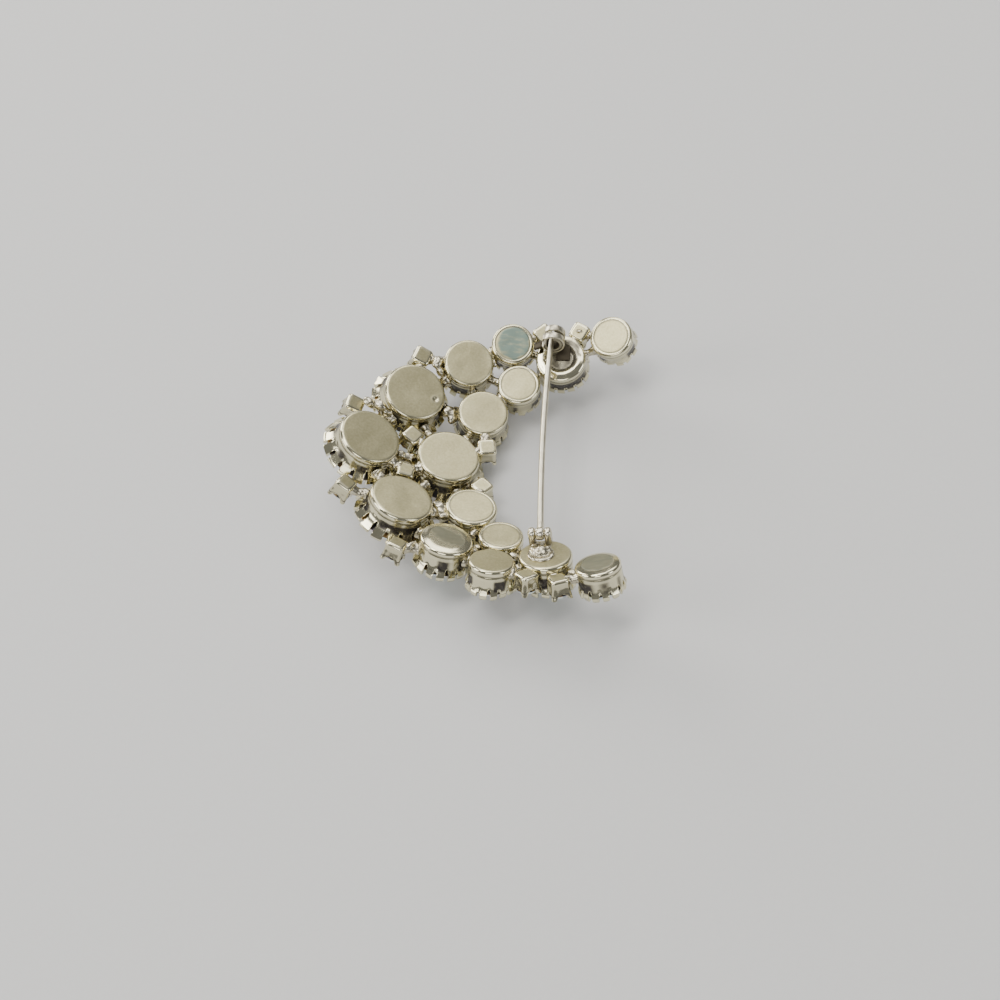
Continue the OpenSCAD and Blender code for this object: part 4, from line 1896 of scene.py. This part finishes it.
@dataclass
class Pin(Workpiece):
    """The swinging pin: flattened loop, bowed wire and point.

    wire_from is where the wire leaves the loop, and squareness is the power of
    the loop's rounded section, 2 for an ellipse.
    """

    bore: float = 0.41
    squareness: float = 2.8
    wire_r: float = 0.47
    wire_from: float = 0.6
    bow: float = 0.43
    point_len: float = 1.7
    stations: int = 90

    @property
    def reach(self) -> float:
        """Length of the wire up to its point."""
        return (CATCH_AT - JOINT_AT).length - self.wire_from

    def loop(self) -> None:
        """Adds the flattened loop, round over its edge, on the rivet's line."""
        middle, width = (LOOP_R + self.bore) / 2, (LOOP_R - self.bore) / 2
        power = self.squareness
        rows = []
        for turn in range(0, 360, 20):
            c, s = math.cos(math.radians(turn)), math.sin(math.radians(turn))
            soft = 1 / (abs(c) ** power + abs(s) ** power) ** (1 / power)
            out = width * min(1.0, soft * abs(c)) * math.copysign(1, c)
            rows.append(Row(middle + out, LOOP_W / 2 * soft * s, 1.0))
        verts = self.lathe([*rows, rows[0]], 48)
        for vert in verts:
            # Painted shade in the loop's bore.
            bore = math.hypot(vert.co.x, vert.co.y) < self.bore + 0.08
            self.mark([vert], 1.0, float(bore))
        self.move(verts, turned(90, "Y"))

    def station(self, t: float) -> tuple[Vector, float]:
        """Finds one ring of the wire.

        Args:
            t: share of the wire's length.

        Returns:
            The ring's centre and radius.
        """
        reach = self.reach
        y = self.wire_from + (reach + self.point_len) * t
        u = min(1.0, (y - self.wire_from) / reach)
        past = y - self.wire_from - reach
        x = 0.1 - 4 * self.bow * u * (1 - u)
        if past > 0:
            x += 4 * self.bow / reach * past
        taper = 1 - (max(0.0, past) / self.point_len) ** 1.6 * 0.72
        return Vector((x, y, 0)), self.wire_r * (1.0 - 0.06 * u) * taper

    def place(self, t: float) -> Matrix:
        """Places a ring: round, and a taller oval at the loop's neck.

        Args:
            t: share of the wire's length.

        Returns:
            The matrix of a flat ring of radius 1.
        """
        centre, r = self.station(t)
        neck = 1 - blend(0.8, 2.2, centre.y)
        size = Matrix.Diagonal((r * (1 + 0.09 * neck), r * (1 + 0.7 * neck), r, 1.0))
        return Matrix.Translation(centre) @ turned(-90, "X") @ size

    def wire(self) -> None:
        """Adds the wire by extruding a ring from station to station."""
        ring = bmesh.ops.create_circle(self.bm, cap_ends=True, segments=24, radius=1.0)["verts"]
        rim = list({edge for vert in ring for edge in vert.link_edges})
        flat = {vert: vert.co.copy() for vert in ring}
        for step in range(self.stations + 1):
            place = self.place(1 - (1 - step / self.stations) ** 1.25)
            for vert in flat:
                vert.co = place @ flat[vert]
            if step < self.stations:
                made = bmesh.ops.extrude_edge_only(self.bm, edges=rim)["geom"]
                rim = [item for item in made if isinstance(item, bmesh.types.BMEdge)]
                fresh = {}
                for vert in (item for item in made if isinstance(item, Vert)):
                    old = min(flat, key=lambda other: (other.co - vert.co).length)
                    fresh[vert] = flat[old]
                flat = fresh
        open_rim = [edge for edge in rim if edge.is_boundary]
        cap = bmesh.ops.edgeloop_fill(self.bm, edges=open_rim)["faces"]
        tip = self.station(1.0)[0] + Vector((0.0, 0.1, 0.0))
        for vert in bmesh.ops.poke(self.bm, faces=cap)["verts"]:
            vert.co = tip

    def build(self) -> Object:
        """Builds the pin on its own body.

        Returns:
            The new object.
        """
        self.wire()
        self.mark(self.bm.verts, 0.3)
        self.loop()
        bmesh.ops.recalc_face_normals(self.bm, faces=self.bm.faces)
        return self.finish("pin_wire", joint_matrix(), self.rack.pin, 50, "pin", "pin_metal")


@dataclass
class Stones:
    """The cut stones, taken facet by facet from the CAD solids.

    Facets that meet at less than flat degrees are joined, and one that leans
    towards the back by more than hidden has foil behind it.
    """

    rack: FinishRack
    seed: int = 21
    flat: float = 0.6
    hidden: float = 0.15

    def dress(self, node_name: str, material: Material, seat: Seat) -> None:
        """Copies a stone, joins its facets, and gives each a tint and its side.

        Args:
            node_name: the stone's CAD node, which the new piece replaces.
            material: its finish.
            seat: the setting that it lies in.
        """
        name = "cut_" + node_name
        hand = random.Random(f"{self.seed}{name}")
        bm = bmesh.new()
        bm.from_mesh(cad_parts[node_name].data)
        bmesh.ops.remove_doubles(bm, verts=bm.verts, dist=1e-7)
        flat = math.radians(self.flat)
        bmesh.ops.dissolve_limit(bm, angle_limit=flat, verts=bm.verts, edges=bm.edges)
        tint, foil = (bm.faces.layers.float.new(layer) for layer in ("tint", "foil"))
        behind = rest_matrix().to_3x3() @ seat.normal()
        for face in bm.faces:
            face.smooth = False
            face.material_index = 0
            face[tint] = hand.random()
            face[foil] = float(face.normal.dot(behind) > self.hidden)
        piece = put_mesh(name, bm, material)
        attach(piece, "brooch")
        LOG.info("%s: %d facets", name, len(piece.data.polygons))
        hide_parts(node_name)

    def build(self) -> None:
        """Dresses every stone node."""
        for number, cup in enumerate(CUPS, 1):
            node_name = f"round_stone_{number:02d}"
            self.dress(node_name, self.rack.round_stone, cup.seat)
        for number, seat in enumerate(SQUARES, 1):
            node_name = f"square_stone_{number:02d}"
            self.dress(node_name, self.rack.square_stone, seat)


@dataclass(frozen=True)
class Lamp:
    """A soft square lamp that faces the brooch: place, side, watts and colour."""

    name: str
    at: tuple[float, float, float]
    size: float
    power: float
    colour: Colour = (1.0, 0.98, 0.94)

    def hang(self) -> None:
        """Puts the lamp into the scene."""
        light = bpy.data.lights.new(self.name, "AREA")
        light.shape = "SQUARE"
        light.size = self.size
        light.energy = self.power
        light.color = self.colour
        lamp = put(self.name, light)
        lamp.location = self.at
        lamp.rotation_euler = Vector(self.at).to_track_quat("Z", "Y").to_euler()


@dataclass
class Studio:
    """Floor, lamps, the room's light and the photograph's camera.

    azimuth, elevation and roll are in degrees, and eye in millimetres.
    """

    rack: FinishRack
    azimuth: float = -7.826
    elevation: float = 51.80
    roll: float = -4.088
    eye: tuple[float, float, float] = (27.491, -179.511, 226.270)
    focal_px: float = 1898.9
    picture_px: float = 1000.0
    sensor_mm: float = 36.0
    floor_half: float = 1.5
    room: tuple[float, float, float, float] = (0.42, 0.43, 0.45, 1.0)
    room_strength: float = 0.43
    lamps: tuple[Lamp, ...] = (
        Lamp("strip_lamp", (-0.26, 0.58, 0.77), 0.30, 1.0, (1.0, 0.985, 0.95)),
        Lamp("key_lamp", (0.06, 0.44, 0.84), 1.10, 2.0),
        Lamp("zenith_lamp", (-0.10, 0.25, 0.97), 0.50, 2.6),
        Lamp("top_lamp", (-0.40, -0.07, 0.91), 0.35, 3.1),
        Lamp("back_lamp", (0.11, 0.78, 0.62), 0.40, 1.8),
        Lamp("horizon_lamp", (-0.20, 0.95, 0.12), 0.25, 0.18, (1.0, 0.97, 0.92)),
        Lamp("low_lamp", (-0.70, 0.62, 0.34), 0.44, 4.6, (1.0, 0.97, 0.92)),
        Lamp("left_lamp", (-0.78, -0.18, 0.34), 0.40, 2.4),
        Lamp("right_lamp", (0.74, -0.26, 0.42), 0.34, 1.3, (0.98, 0.99, 1.0)),
        Lamp("front_lamp", (-0.08, -0.78, 0.58), 0.46, 2.0, (1.0, 0.985, 0.95)),
    )

    def floor(self) -> None:
        """Lays the pale paper."""
        bm = bmesh.new()
        bmesh.ops.create_grid(bm, x_segments=4, y_segments=4, size=self.floor_half)
        floor = put_mesh("studio_floor", bm, self.rack.paper)

    def world(self) -> None:
        """Fills the room with a dim even light."""
        world = bpy.data.worlds.new("studio_room")
        world.use_nodes = True
        sockets = world.node_tree.nodes["Background"].inputs
        sockets["Color"].default_value = self.room
        sockets["Strength"].default_value = self.room_strength
        bpy.context.scene.world = world

    def camera(self) -> None:
        """Sets the camera where the photograph was taken from."""
        degrees = (self.azimuth, self.elevation, self.roll)
        az, el, roll = (math.radians(value) for value in degrees)
        ahead = Vector((math.sin(az) * math.cos(el), math.cos(az) * math.cos(el), -math.sin(el)))
        right = ahead.cross(Vector((0, 0, 1))).normalized()
        up = right.cross(ahead)
        rolled_right = math.cos(roll) * right + math.sin(roll) * up
        rolled_up = -math.sin(roll) * right + math.cos(roll) * up
        data = bpy.data.cameras.new("photo_camera")
        data.sensor_width = self.sensor_mm
        data.lens = self.sensor_mm * self.focal_px / self.picture_px
        data.clip_start, data.clip_end = 0.01, 20.0
        camera = put("photo_camera", data)
        camera.matrix_world = axes_matrix(Vector(self.eye) * MM, rolled_right, rolled_up, -ahead)
        bpy.context.scene.camera = camera

    def build(self) -> None:
        """Sets up the whole studio."""
        self.floor()
        for lamp in self.lamps:
            lamp.hang()
        self.world()
        self.camera()


def main() -> None:
    """Builds every piece in order."""
    logging.basicConfig(level=logging.INFO, format="%(name)s %(message)s")
    rack = FinishRack()
    cups = [RoundCup(rack, number, cup).build() for number, cup in enumerate(CUPS, 1)]
    for number, seat in enumerate(SQUARES, 1):
        SquareSetting(rack, number, seat).build()
    for part in (SolderWork, JointEars, JointBase, CatchBarrel):
        part(rack).build()
    roller = CatchRoller(rack).build()
    pin = Pin(rack).build()
    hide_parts("setting_frame")
    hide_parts("catch_sleeve")
    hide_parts("pin_stem")
    Stones(rack).build()
    Studio(rack).build()


if __name__ == "__main__":
    main()
